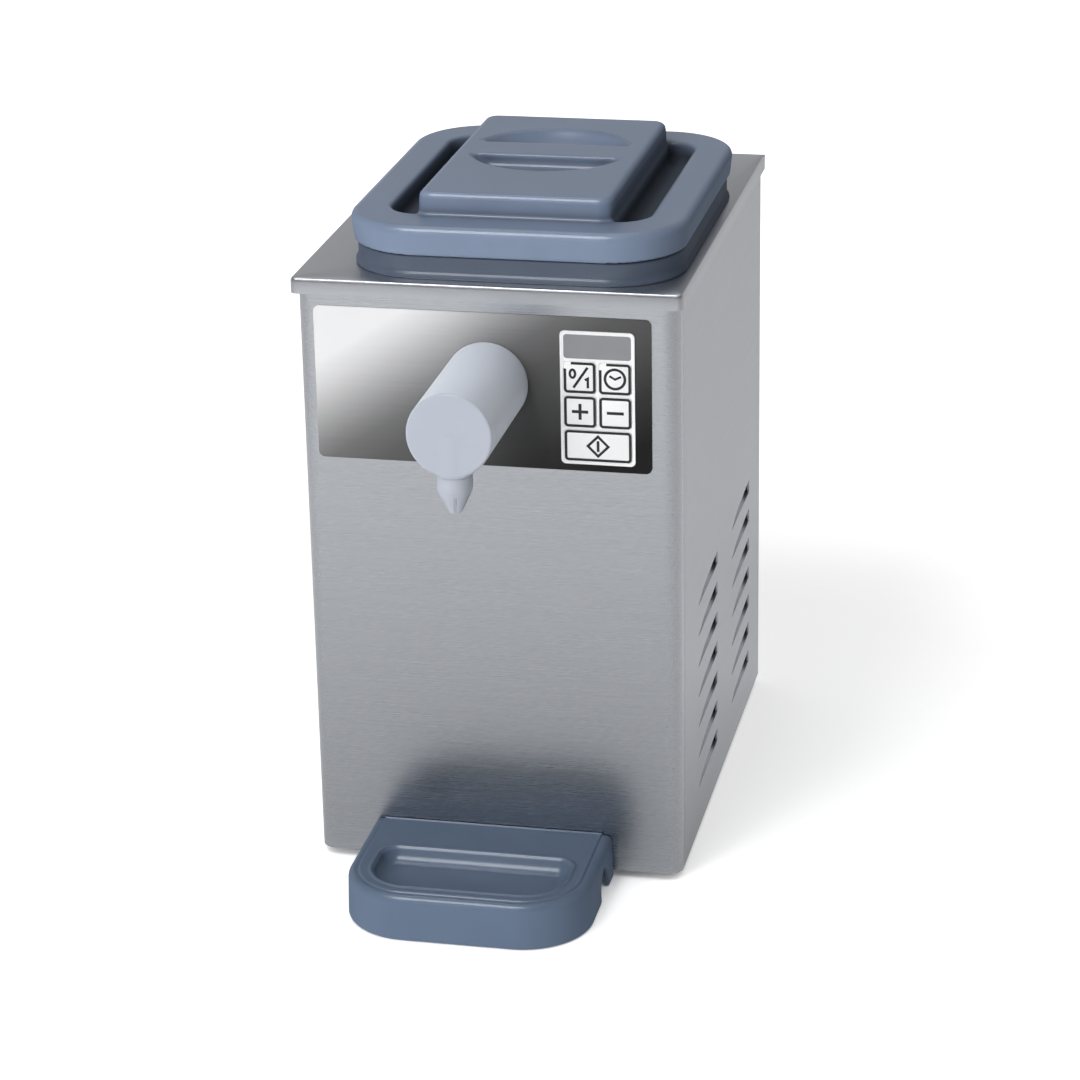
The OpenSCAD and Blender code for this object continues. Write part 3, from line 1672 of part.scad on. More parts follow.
module fan_motor() {
  motor_end = fan_x - fan_motor_gap;
  arm_x = motor_end - fan_motor_l / 2;
  post_at = fan_r + fan_gap + arm_t;
  color(black_enamel)
  difference() {
    union() {
      rod_x(motor_end - fan_motor_l, fan_y, fan_z, fan_motor_r, fan_motor_l);
      for (side = [-1, 1]) {
        translate([arm_x, fan_y + side * post_at / 2, fan_z])
          cube([arm_t, post_at + arm_t, arm_t], center = true);
        translate([arm_x - arm_t / 2, fan_y + side * post_at - arm_t / 2, fan_z - arm_t / 2])
          cube([condenser_x - shroud_t - arm_x + arm_t / 2, arm_t, arm_t]);
      }
    }
    rod_x(motor_end - fan_shaft_in - over, fan_y, fan_z, fan_shaft_r + run_fit, fan_shaft_in + 2 * over);
  }
}

module fan() {
  color(milk) {
    rod_x(fan_x, fan_y, fan_z, hub_r, fan_w);
    rod_x(fan_x - fan_motor_gap - fan_shaft_in, fan_y, fan_z, fan_shaft_r,
      fan_shaft_in + fan_motor_gap + hair);
    for (i = [0 : blade_count - 1])
      intersection() {
        rod_x(fan_x, fan_y, fan_z, fan_r, fan_w);
        translate([fan_x + fan_w / 2, fan_y, fan_z])
          rotate([i * 360 / blade_count, 0, 0])
            translate([0, 0, hub_r + fan_r / 2 - over])
              rotate([0, 0, blade_pitch])
                cube([blade_t, 3 * fan_w, fan_r], center = true);
      }
  }
}

module filter_drier() {
  color(copper)
  rod_z(drier_x, drier_y, drier_low, drier_r, drier_l);
}

module refrigerant_lines() {
  high = foot_h + line_z;
  low = floor_z + tube_pitch;
  back_y = drier_y + 2 * line_r + 2 * over;
  drier_high = drier_low + drier_l;
  bend_z = tail_end - 4 * line_r;
  color(copper) {
    bar_run([[discharge_port_x, compressor_y, port_top], [discharge_port_x, compressor_y, high],
      [discharge_port_x, back_y, high], [condenser_tube_x, back_y, high],
      [condenser_tube_x, back_y, floor_z + tube_rows * tube_pitch],
      [condenser_tube_x, stub_y, floor_z + tube_rows * tube_pitch]], line_r, bend_swell);
    bar_run([[condenser_tube_x, stub_y, low], [condenser_tube_x, drier_y, low], [drier_x, drier_y, low],
      [drier_x, drier_y, drier_low]], line_r, bend_swell);
    bar_run([[drier_x, drier_y, drier_high], [drier_x, drier_y, bend_z], [drier_x, tail_y, bend_z],
      [drier_x, tail_y, tail_end]], line_r, bend_swell);
    bar_run([[suction_port_x, tail_y, port_top], [suction_port_x, tail_y, tail_end]], line_r);
  }
}

// Electrics

module power_supply() {
  color(grey)
  translate([-inner_w / 2 + supply_side, front_y + supply_front, floor_z])
    cube([supply_w, supply_d, supply_h]);
}

module power_inlet() {
  mid_z = foot_h + inlet_z;
  pin_y = rear_y + inlet_flange_t - inlet_mouth_l;
  color(ink) {
    difference() {
      union() {
        plate_y(rear_y, inlet_flange_t)
          translate([inlet_x, mid_z])
            square([inlet_flange_w, inlet_flange_h], center = true);
        plate_y(rear_y - inlet_l, inlet_l + hair)
          translate([inlet_x, mid_z])
            square([inlet_w, inlet_h], center = true);
      }
      plate_y(pin_y, inlet_mouth_l + over)
        translate([inlet_x, mid_z])
          square([inlet_mouth_w, inlet_mouth_h], center = true);
    }
    for (i = [-1, 0, 1])
      translate([inlet_x + i * pin_pitch - pin_w / 2, pin_y - hair,
        mid_z - pin_h / 2 + (i == 0 ? -pin_drop / 2 : pin_drop / 2)])
        cube([pin_w, pin_l + hair, pin_h]);
  }
}

base_pan();
front_panel();
side_panel_left();
side_panel_right();
rear_panel();
top_panel();
feet();
panel_screws();
fascia_plate();
keypad_bezel();
keypad_outline();
display_window();
key_power();
key_timer();
key_plus();
key_minus();
key_start();
key_switches();
control_board();
board_posts();
display_module();
lid();
lid_gasket();
tank_collar();
cream_tank();
tank_outlet();
outlet_ring();
tank_well();
evaporator_coil();
well_insulation();
suction_pipe();
pump_body();
pump_cover();
cover_screws();
drive_gear();
drive_shaft();
driven_gear();
driven_axle();
shaft_seal();
shaft_coupling();
motor_shaft();
gear_motor();
pump_shelf();
head_socket();
head_ring();
labyrinth_core();
dispensing_head();
star_tip();
drip_tray();
tray_tongue();
compressor();
compressor_mounts();
condenser();
fan_shroud();
fan_motor();
fan();
filter_drier();
refrigerant_lines();
power_supply();
power_inlet();
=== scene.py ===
"""Looks of a countertop whipped cream dispenser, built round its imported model.

Sizes are in millimetres in the row frame and become metres when a mesh is made. Places in
materials, lamps and the camera are in metres.
"""
import math

import bpy
import numpy as np
from mathutils import Matrix, Vector


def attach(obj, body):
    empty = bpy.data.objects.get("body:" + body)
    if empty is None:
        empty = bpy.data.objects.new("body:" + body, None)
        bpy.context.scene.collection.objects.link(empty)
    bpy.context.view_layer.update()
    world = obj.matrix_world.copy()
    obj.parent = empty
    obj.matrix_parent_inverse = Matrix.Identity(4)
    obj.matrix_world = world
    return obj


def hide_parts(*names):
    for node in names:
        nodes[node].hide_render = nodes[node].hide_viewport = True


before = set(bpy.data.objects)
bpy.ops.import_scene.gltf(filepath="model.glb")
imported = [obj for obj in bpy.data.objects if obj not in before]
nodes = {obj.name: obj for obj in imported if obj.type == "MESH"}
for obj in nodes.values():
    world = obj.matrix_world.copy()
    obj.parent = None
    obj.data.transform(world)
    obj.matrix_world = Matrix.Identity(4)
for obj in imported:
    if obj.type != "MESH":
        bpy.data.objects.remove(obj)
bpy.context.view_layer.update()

MM = 0.001
CREASE = math.radians(35)

# Casing: outer faces of its sheets, and how far the top's lip stands out
FRONT_Y, REAR_Y, TOP_Z = -111.0, 219.0, 395.0
BODY_W, BODY_D, LIP_OUT = 240.0, 330.0, 3.0

# Lid: middle of its plan, underside, top of the rim and top of the block; middle of the tank
LID_X, LID_MID = 12.0, 19.0
LID_Z, RIM_Z, LID_TOP = 411.0, 429.0, 443.0
TANK_Y = 59.5

# Dispensing head: height of its axis, its ends, its seat for the tip and the tip's upright axis
AXIS_Z, HEAD_FRONT, HEAD_REAR = 333.0, -213.0, -112.2
SEAT_Z, TIP_Y = 305.5, -201.0

# Drip tray
TRAY_X, TRAY_BACK, TRAY_FRONT, TRAY_H = -3.0, -111.4, -221.0, 31.5

# Keys: middle of the pad, its columns and rows, the caps' faces and their ends inside
KEYPAD_X, COLUMN = 69.5, 11.0
ROW_Z = (295.3, 317.3, 339.3)
KEY_Y, KEY_END = -112.8, -106.55
KEY_SIZE, START_W = 20, 42
FRAME_IN = 0.9
CORNER_STEPS = 5


# Meshes

def put(name, verts, faces, looks, body, replaced, normals=None, indices=None, painted_occlusion=None):
    """Makes one piece from millimetre points, smooth but for its creases, and rides it on a body."""
    mesh = bpy.data.meshes.new(name)
    points = (np.asarray(verts, float) * MM).tolist()
    mesh.from_pydata(points, [], [list(map(int, f)) for f in faces])
    mesh.polygons.foreach_set("use_smooth", [True] * len(mesh.polygons))
    for look in looks:
        mesh.materials.append(look)
    if indices is not None:
        mesh.polygons.foreach_set("material_index", indices)
    mesh.update()
    # Painted shade: per-point occlusion, which the plastics turn into darker tone in concave places.
    if painted_occlusion is not None:
        mesh.attributes.new("painted_occlusion", "FLOAT", "POINT").data.foreach_set("value", painted_occlusion)
    if normals is not None:
        mesh.normals_split_custom_set_from_vertices(normals.tolist())
    else:
        mesh.set_sharp_from_angle(angle=CREASE)
    piece = bpy.data.objects.new(name, mesh)
    bpy.context.scene.collection.objects.link(piece)
    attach(piece, body)
    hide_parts(*replaced)


class Heap:
    """Collects points, faces and material numbers of several shapes for one piece."""

    def __init__(self):
        self.verts, self.faces, self.marks = [], [], []

    def add(self, verts, faces, mark=0):
        start = len(self.verts)
        self.verts += [tuple(v) for v in verts]
        self.faces += [[start + i for i in f] for f in faces]
        self.marks += [mark] * len(faces)

    def piece(self, name, looks, body, slot, replaced):
        put(name, self.verts, self.faces, looks, body, replaced, indices=self.marks)


def surface(field, low, high, step):
    """Points, quads and normals of field = 0, negative inside, by surface nets settled on it."""
    axes = [np.arange(a, b + step, step) for a, b in zip(low, high)]
    value = field(*np.meshgrid(*axes, indexing="ij"))
    inside = value < 0
    nx, ny, nz = (len(a) - 1 for a in axes)
    corners = [(i, j, k) for i in (0, 1) for j in (0, 1) for k in (0, 1)]
    count = sum(inside[i:i + nx, j:j + ny, k:k + nz].astype(int) for i, j, k in corners)
    cells = np.argwhere((count > 0) & (count < len(corners)))
    number = np.full((nx, ny, nz), -1)
    number[tuple(cells.T)] = np.arange(len(cells))

    total, hits = np.zeros((len(cells), 3)), np.zeros((len(cells), 1))
    for a in corners:
        for axis in range(3):
            if a[axis]:
                continue
            b = list(a)
            b[axis] = 1
            va = value[tuple((cells + a).T)]
            vb = value[tuple((cells + b).T)]
            cross = (va < 0) != (vb < 0)
            share = np.where(cross, va / np.where(cross, va - vb, 1), 0)
            point = cells + np.array(a, float)
            point[:, axis] += share
            total += np.where(cross[:, None], point, 0)
            hits += cross[:, None]
    points = np.array(low) + step * total / hits

    faces = []
    for axis in range(3):
        u, v = (axis + 1) % 3, (axis + 2) % 3
        first = [slice(None)] * 3
        second = [slice(None)] * 3
        first[axis], second[axis] = slice(None, -1), slice(1, None)
        one, two = inside[tuple(first)], inside[tuple(second)]
        for change, turn in ((one & ~two, 1), (~one & two, -1)):
            at = np.argwhere(change)
            at = at[(at[:, u] > 0) & (at[:, u] < len(axes[u]) - 1)]
            at = at[(at[:, v] > 0) & (at[:, v] < len(axes[v]) - 1)]
            ring = []
            for du, dv in ((1, 1), (0, 1), (0, 0), (1, 0)):
                cell = at.copy()
                cell[:, u] -= du
                cell[:, v] -= dv
                ring.append(number[tuple(cell.T)])
            faces.append(np.stack(ring[::turn], 1))
    faces = np.concatenate(faces)

    def slope(p, h=0.02):
        rise = [field(*(p + h * e).T) - field(*(p - h * e).T) for e in np.eye(3)]
        return np.stack(rise, 1) / (2 * h)

    settle_rounds, longest, least_slope = 4, 0.4 * step, 0.05
    for _ in range(settle_rounds):
        g = slope(points)
        steep = np.maximum((g * g).sum(1, keepdims=True), least_slope)
        move = field(*points.T)[:, None] * g / steep
        points = points - np.clip(move, -longest, longest)
    g = slope(points)
    return points, faces, g / np.maximum(np.linalg.norm(g, axis=1, keepdims=True), 1e-6)


def closedness(field, points, normals):
    """Zero on open faces, up to one where other faces stand close in front, by four reaches, for
    painted shade in concave places.
    """
    painted_occlusion = np.zeros(len(points))
    for reach, weight in ((3, 0.2), (7, 0.3), (14, 0.3), (26, 0.2)):
        ahead = field(*(points + reach * normals).T)
        painted_occlusion += weight * np.clip(1 - ahead / reach, 0, 1)
    return painted_occlusion


def corner_distance(qx, qy):
    """Distance to a corner whose two faces lie at distances qx and qy."""
    return np.minimum(np.maximum(qx, qy), 0) + np.hypot(np.maximum(qx, 0), np.maximum(qy, 0))


def rect(x, y, w, d, r):
    """Distance to a rectangle with round corners round the origin."""
    return corner_distance(np.abs(x) - w / 2 + r, np.abs(y) - d / 2 + r) - r


def slab(plan, z, low, high, low_edge, high_edge):
    """Plan drawn from low to high with round edges."""
    middle, half = (low + high) / 2, (high - low) / 2
    edge = np.where(z > middle, high_edge, low_edge)
    return corner_distance(plan + edge, np.abs(z - middle) - half + edge) - edge


def join(a, b, k):
    """Union with a fillet about k wide."""
    h = np.clip(0.5 + 0.5 * (b - a) / k, 0, 1)
    return b + (a - b) * h - k * h * (1 - h)


def meet(a, b, k):
    """Intersection with an edge rounded about k wide."""
    return -join(-a, -b, k)


def cut(a, b, k):
    """What is left of a without b, its new edge rounded about k wide."""
    return -join(-a, b, k)


def outline(w, d, front_r, rear_r, steps):
    """Points of a rectangle round the origin, front corners first, anticlockwise from above."""
    points = []
    for sx, sy, r, start in ((1, -1, front_r, -90), (1, 1, rear_r, 0),
                             (-1, 1, rear_r, 90), (-1, -1, front_r, 180)):
        x, y = sx * (w / 2 - r), sy * (d / 2 - r)
        for i in range(steps + 1):
            a = math.radians(start + 90 * i / steps)
            points.append((x + r * math.cos(a), y + r * math.sin(a)))
    return points


def loft(rings, close=False):
    """Quads from ring to ring, with the ends filled or the last ring joined to the first."""
    n = len(rings[0])
    verts = [p for ring in rings for p in ring]
    faces = []
    for k in range(len(rings) if close else len(rings) - 1):
        a, b = k * n, (k + 1) % len(rings) * n
        faces += [[a + i, a + (i + 1) % n, b + (i + 1) % n, b + i] for i in range(n)]
    if not close:
        faces.append(list(range(n))[::-1])
        faces.append([(len(rings) - 1) * n + i for i in range(n)])
    return verts, faces


def lathe(profile, place, upright=True, steps=48):
    """Turns (radius, height) points about an axis through place, upright or along y."""
    rings = []
    for r, h in profile:
        ring = []
        for i in range(steps):
            a = 2 * math.pi * i / steps
            c, s = r * math.cos(a), r * math.sin(a)
            ring.append(tuple(np.add((c, s, h) if upright else (s, h, c), place)))
        rings.append(ring)
    return loft(rings)


def ribbon(points, width, face_y, thick, closed):
    """Closed strip along (x, z) points, standing thick out of the face at face_y."""
    p = np.array(points, float)
    n = len(p)
    sharpest = 0.3
    left = []
    for i in range(n):
        before = p[i] - p[i - 1] if closed or i > 0 else p[i + 1] - p[i]
        after = p[(i + 1) % n] - p[i] if closed or i < n - 1 else before
        before, after = before / np.linalg.norm(before), after / np.linalg.norm(after)
        mid = np.array([-before[1] - after[1], before[0] + after[0]])
        mid = mid / np.linalg.norm(mid)
        left.append(mid / max(sharpest, mid @ np.array([-before[1], before[0]])))
    left = np.array(left) * width / 2
    rings = []
    for i in range(n):
        a, b = p[i] + left[i], p[i] - left[i]
        rings.append([(a[0], face_y - thick, a[1]), (b[0], face_y - thick, b[1]),
                      (b[0], face_y, b[1]), (a[0], face_y, a[1])])
    verts, faces = loft(rings, close=closed)
    return verts, [f[::-1] for f in faces]


def oval(x, z, across, up, steps):
    """Points round an upright ellipse."""
    turns = [2 * math.pi * i / steps for i in range(steps)]
    return [(x + across * math.cos(t), z + up * math.sin(t)) for t in turns]


# Materials

class Tree:
    """Shader nodes of a material or the world, with short ways to add more."""

    def __init__(self, tree):
        self.tree = tree
        self.where = tree.nodes.new("ShaderNodeTexCoord").outputs

    def node(self, kind, sockets, **settings):
        """Adds a node, links or sets its sockets and gives its outputs."""
        n = self.tree.nodes.new(kind)
        for key, value in settings.items():
            setattr(n, key, value)
        for key, value in sockets.items():
            if hasattr(value, "links"):
                self.tree.links.new(value, n.inputs[key])
            else:
                n.inputs[key].default_value = value
        return n.outputs

    def math(self, operation, *values):
        return self.node("ShaderNodeMath", dict(enumerate(values)), operation=operation)[0]

    def mix(self, share, low, high):
        return self.node("ShaderNodeMix", {0: share, 2: low, 3: high})[0]

    def split(self, vector):
        return self.node("ShaderNodeSeparateXYZ", {0: vector})

    def span(self, value, from_low, from_high, low, high, **settings):
        return self.node("ShaderNodeMapRange", {"Value": value, "From Min": from_low,
                                                "From Max": from_high, "To Min": low,
                                                "To Max": high}, **settings)["Result"]

    def step(self, value, low, high):
        """Smooth rise from zero at low to one at high."""
        return self.span(value, low, high, 0.0, 1.0, interpolation_type="SMOOTHSTEP")

    def away(self, value, middle):
        return self.math("ABSOLUTE", self.math("SUBTRACT", value, middle))


class Look(Tree):
    """A Principled material."""

    def __init__(self, name, **values):
        self.mat = bpy.data.materials.new(name)
        self.mat.use_nodes = True
        super().__init__(self.mat.node_tree)
        self.shader = self.tree.nodes["Principled BSDF"]
        for key, value in values.items():
            self.shader.inputs[key.replace("_", " ")].default_value = value

    def place(self):
        return self.split(self.where["Object"])

    def link(self, output, socket):
        self.tree.links.new(output, self.shader.inputs[socket])

    def noise(self, scale, stretch=(1, 1, 1), detail=3.0):
        spread = self.node("ShaderNodeMapping", {"Vector": self.where["Object"], "Scale": stretch})
        return self.node("ShaderNodeTexNoise", {"Vector": spread[0], "Scale": scale,
                                                "Detail": detail, "Roughness": 0.55})["Fac"]

    def ramp(self, fac, stops):
        n = self.tree.nodes.new("ShaderNodeValToRGB")
        self.tree.links.new(fac, n.inputs["Fac"])
        while len(n.color_ramp.elements) < len(stops):
            n.color_ramp.elements.new(0.5)
        for e, (at, colour) in zip(n.color_ramp.elements, stops):
            e.position = at
            e.color = (*colour, 1)
        return n.outputs["Color"]

    def blend(self, fac, shade, other):
        return self.node("ShaderNodeMix", {0: fac, 6: shade, 7: (*other, 1)}, data_type="RGBA")[2]

    def vary(self, cloud, low, high):
        """Spreads the middle of a noise over low to high."""
        return self.span(cloud, 0.25, 0.75, low, high)

    def bump(self, height, strength, distance):
        rough = self.node("ShaderNodeBump", {"Height": height, "Strength": strength,
                                             "Distance": distance})
        self.link(rough["Normal"], "Normal")


def tone(colour, share):
    return tuple(min(1.0, c * share) for c in colour)


def steel(name, stretch, colour, rough, bright=None):
    """Brushed sheet whose grain runs along the axis with the small stretch.

    bright gives a node output where the tone is lifted as painted light.
    """
    streak, lift, broader = 0.035, 1.8, 0.12
    look = Look(name, Metallic=1.0)
    fine = look.noise(1.0, stretch, 2.0)
    broad = look.noise(1.0, tuple(s * broader for s in stretch))
    cloud = look.noise(7.0, detail=2.0)
    total = look.math("ADD", look.math("ADD", fine, broad), cloud)
    shade = look.ramp(look.math("MULTIPLY", total, 1 / 3),
                      [(0.32, tone(colour, 1 - streak)), (0.5, colour),
                       (0.68, tone(colour, 1 + streak))])
    if bright:
        shade = look.blend(bright(look), shade, tone(colour, lift))
    look.link(shade, "Base Color")
    look.link(look.vary(fine, rough - 0.03, rough + 0.04), "Roughness")
    look.bump(fine, 0.03, 0.00004)
    return look.mat


def plastic(name, colour, rough, grain=0.04, mottle=0.04, dark=None, depth=0.0, painted_occlusion=0.0,
            matt=None, **values):
    """Moulded plastic with slight mottling and orange peel.

    dark gives a node output where the tone is painted down to depth, matt one that roughens the
    skin, and shut is the share of the tone taken off in concave places, a painted shade.
    """
    matt_rough = 0.85
    look = Look(name, **values)
    cloud = look.noise(30.0, detail=2.0)
    skin = look.noise(420.0, detail=1.0)
    shade = look.ramp(cloud, [(0.3, tone(colour, 1 - mottle)), (0.5, colour),
                              (0.7, tone(colour, 1 + mottle))])
    # Painted shade in concave places, read from the mesh's occlusion.
    if painted_occlusion:
        near = look.node("ShaderNodeAttribute", {}, attribute_name="painted_occlusion")["Fac"]
        shade = look.blend(near, shade, tone(colour, 1 - painted_occlusion))
    if dark:
        shade = look.blend(dark(look), shade, tone(colour, depth))
    look.link(shade, "Base Color")
    gloss = look.vary(cloud, rough - 0.01, rough + 0.03)
    if matt:
        gloss = look.mix(matt(look), gloss, matt_rough)
    look.link(gloss, "Roughness")
    look.bump(skin, grain, 0.0001)
    return look.mat


def metal(name, colour, rough, scale=120.0, metallic=1.0):
    """Plain metal or enamel with slight clouds in its tone and roughness."""
    look = Look(name, Metallic=metallic)
    cloud = look.noise(scale, detail=4.0)
    shade = look.ramp(cloud, [(0.3, tone(colour, 0.96)), (0.7, tone(colour, 1.03))])
    look.link(shade, "Base Color")
    look.link(look.vary(cloud, rough - 0.02, rough + 0.03), "Roughness")
    look.bump(cloud, 0.02, 0.0001)
    return look.mat


def lid_troughs(look):
    """One in the depth of the two troughs beside the lid's block, fading to zero at the rim: painted
    shade there, and a rougher skin.
    """
    place = look.place()
    deep = look.step(place["Z"], 0.4285, 0.4200)
    across = look.step(look.away(place["X"], LID_X * MM), 0.0870, 0.0845)
    along = look.step(look.away(place["Y"], LID_MID * MM), 0.1000, 0.0970)
    return look.math("MULTIPLY", deep, look.math("MULTIPLY", across, along))


def flanks(look):
    """One on faces that look to the left or right."""
    return look.step(look.away(look.split(look.where["Normal"])["X"], 0.0), 0.20, 1.0)


def lid_matt(look):
    return look.math("MAXIMUM", flanks(look), lid_troughs(look))


def head_face(look):
    """One on the flat front of the head and on the tip under it, zero along the tube, which is left
    painted lighter than them.
    """
    place = look.place()
    ahead = look.step(place["Y"], -0.2105, -0.2128)
    under = look.step(place["Z"], 0.3090, 0.3050)
    return look.math("MAXIMUM", ahead, under)


def louvre_painted_light(look):
    """Painted light in the louvres: part along them, behind the faces of the side panels, and one in
    their deep ends.
    """
    out = look.away(look.place()["X"], 0.0)
    deep = look.span(look.step(out, 0.1180, 0.1164), 0.0, 1.0, 0.6, 1.0)
    return look.math("MULTIPLY", deep, look.step(out, 0.1199, 0.1194))


def fascia_print():
    """Printed overlay that runs from white at the upper left to near black at the lower right."""
    look = Look("fascia_print", Roughness=0.45, Specular_IOR_Level=0.15)
    place = look.place()
    drop, waver = 0.71, 0.01
    whole = 1 + drop
    across = look.span(place["X"], -0.109, 0.103, 0.0, 1.0, clamp=False)
    down = look.span(place["Z"], 0.3775, 0.2785, 0.0, drop, clamp=False)
    streak = look.noise(1.0, (4, 4, 700))
    shift = look.span(streak, 0.2, 0.8, -waver, waver)
    way = look.math("ADD", look.math("ADD", across, down), shift)
    stops = [(0.27, 0.80), (0.40, 0.61), (0.54, 0.38), (0.65, 0.24), (0.74, 0.155),
             (0.90, 0.100), (1.06, 0.080), (1.33, 0.032), (1.55, 0.010)]
    shade = look.ramp(look.math("DIVIDE", way, whole),
                      [(t / whole, (g, g, g * 1.01)) for t, g in stops])
    look.link(shade, "Base Color")
    look.bump(streak, 0.03, 0.00004)
    return look.mat


def display_grey():
    look = Look("display_grey", Roughness=0.35, Specular_IOR_Level=0.3)
    cloud = look.noise(60.0, detail=2.0)
    shade = look.ramp(cloud, [(0.3, (0.265, 0.27, 0.285)), (0.7, (0.285, 0.29, 0.305))])
    look.link(shade, "Base Color")
    return look.mat


STEEL = (0.47, 0.485, 0.515)
front_steel = steel("front_steel", (9, 900, 1500), STEEL, 0.26)
# Painted light: the side panels' pressed-in louvres are painted lighter along their ramps and most
# in their deep ends, against the shade inside them.
side_steel = steel("side_steel", (900, 9, 1500), STEEL, 0.33, bright=louvre_painted_light)
top_steel = steel("top_steel", (9, 900, 900), tone(STEEL, 1.1), 0.34)
inner_steel = metal("inner_steel", (0.50, 0.51, 0.52), 0.34)
# Painted shade: the lid's tone is taken down deep in the troughs beside its block.
lid_slate = plastic("lid_slate", (0.198, 0.255, 0.365), 0.29, dark=lid_troughs, depth=0.22,
                    painted_occlusion=0.8, matt=lid_matt, Specular_IOR_Level=0.35)
# Painted shade: the collar is the lid's slate plastic with its tone taken down to about two fifths.
collar_slate = plastic("collar_slate", (0.08, 0.104, 0.15), 0.29, painted_occlusion=0.6, matt=flanks)
# Painted shade: the tray is the lid's slate plastic with its tone taken down, standing in for the
# shade of the casing and head over it.
tray_slate = plastic("tray_slate", (0.118, 0.167, 0.25), 0.29, painted_occlusion=0.7, matt=flanks,
                     Specular_IOR_Level=0.4)
# Painted light: the head's tube is painted lighter than its face and tip, standing in for light that
# the translucent plastic carries round to its sides.
milk = plastic("milk", (0.82, 0.875, 1.0), 0.42, 0.03, 0.0, dark=head_face, depth=0.59,
               Subsurface_Weight=0.35, Subsurface_Radius=(0.012, 0.012, 0.012),
               Subsurface_Scale=0.2)
pump_plastic = plastic("pump_plastic", (0.74, 0.74, 0.73), 0.42)
white_key = plastic("white_key", (0.95, 0.955, 0.96), 0.42, 0.02, 0.01)
ink = plastic("ink", (0.012, 0.012, 0.013), 0.42, 0.02, 0.1)
black_plastic = plastic("black_plastic", (0.022, 0.022, 0.024), 0.40, 0.1)
rubber = plastic("rubber", (0.018, 0.018, 0.018), 0.72, 0.25)
board_green = plastic("board_green", (0.02, 0.12, 0.05), 0.38)
copper = metal("copper", (0.64, 0.33, 0.20), 0.32)
brass_pin = metal("brass_pin", (0.66, 0.62, 0.54), 0.25)
enamel = metal("enamel", (0.016, 0.016, 0.018), 0.36, 60.0, 0.0)
fin_metal = metal("fin_metal", (0.62, 0.63, 0.64), 0.38)
foam = plastic("foam", (0.62, 0.55, 0.36), 0.85, 0.6, 0.12)
fascia_look = fascia_print()
display_look = display_grey()

# Nodes that are shown as they were packed
node_looks = {
    front_steel: ["front_panel", "rear_panel"],
    side_steel: ["side_panel_left", "side_panel_right"],
    inner_steel: ["base_pan", "tray_tongue", "cream_tank", "tank_well", "suction_pipe",
                  "pump_body", "pump_cover", "cover_screws", "drive_shaft", "driven_axle",
                  "shaft_coupling", "motor_shaft", "pump_shelf", "tank_outlet", "board_posts",
                  "fan_shroud", "power_supply"],
    milk: ["labyrinth_core", "head_socket"],
    pump_plastic: ["drive_gear", "driven_gear", "fan"],
    fascia_look: ["fascia_plate"],
    white_key: ["keypad_bezel", "keypad_outline"],
    black_plastic: ["key_switches"],
    display_look: ["display_window", "display_module"],
    rubber: ["lid_gasket", "outlet_ring", "shaft_seal", "head_ring", "compressor_mounts"],
    board_green: ["control_board"],
    copper: ["evaporator_coil", "filter_drier", "refrigerant_lines"],
    foam: ["well_insulation"],
    enamel: ["compressor", "gear_motor", "fan_motor"],
    fin_metal: ["condenser"],
}
for look, names in node_looks.items():
    for name in names:
        slots = nodes[name].data.materials
        slots.clear()
        slots.append(look)


# Lid, collar and tray

def lid_field(x, y, z):
    """Block on a broad rim, with a trough on each side of it, two grips, a hollow and a skirt."""
    rim_w, rim_d, rim_r, rim_draft = 214, 256, 48, 0.12
    block_w, block_d, block_r, block_draft = 124, 200, 9, 0.10
    trough_w, trough_d, trough_r, trough_z, trough_draft = 164, 192, 20, 415, 0.10
    grip_mid, grip_wall, grip_r, grip_depth, grip_ramp = 14, 15, 52, 9, 14
    wall, hollow_r, hollow_top = 4, 6, 427
    skirt_w, skirt_d, skirt_r, skirt_t, skirt_low, skirt_top = 194, 232, 38, 3, 406, 413

    x, y = x - LID_X, y - LID_MID
    draft = rim_draft * np.clip(RIM_Z - z, 0, RIM_Z - LID_Z)
    rim = slab(rect(np.abs(x) + draft, y, rim_w, rim_d, rim_r), z, LID_Z, RIM_Z, 1.5, 5.5)
    lean = block_draft * np.clip(z - RIM_Z, -2, LID_TOP - RIM_Z)
    plan = rect(x, y, block_w - 2 * lean, block_d - 2 * lean, block_r)
    body = join(rim, slab(plan, z, LID_Z, LID_TOP, 1, 3.5), 2.4)

    lean = trough_draft * (RIM_Z - z)
    beside = block_w / 2 + 0.4 - np.abs(x)
    trough = meet(rect(x, y, trough_w, trough_d, trough_r) + lean, beside, 3)
    trough = meet(trough, trough_z - z, 5)
    trough = meet(trough, z - RIM_Z - 5, 3)
    body = cut(body, trough, 3.2)
    for side in (1, -1):
        v = side * (y - grip_mid)
        into = grip_r - np.hypot(x, v)
        depth = grip_depth * np.sin(np.pi / 2 * np.clip(into / grip_ramp, 0, 1))
        scoop = meet(grip_wall - v, LID_TOP - depth - z, 6)
        body = cut(body, np.maximum(scoop, -into), 2)

    hollow = rect(x, y, block_w - 2 * wall, block_d - 2 * wall, hollow_r)
    body = np.maximum(body, -slab(hollow, z, LID_Z - 12, hollow_top, 1, 3))
    inner = rect(x, y, skirt_w - 2 * skirt_t, skirt_d - 2 * skirt_t, skirt_r - skirt_t)
    skirt = np.maximum(rect(x, y, skirt_w, skirt_d, skirt_r), -inner)
    return np.minimum(body, slab(skirt, z, skirt_low, skirt_top, 0.6, 0.6))


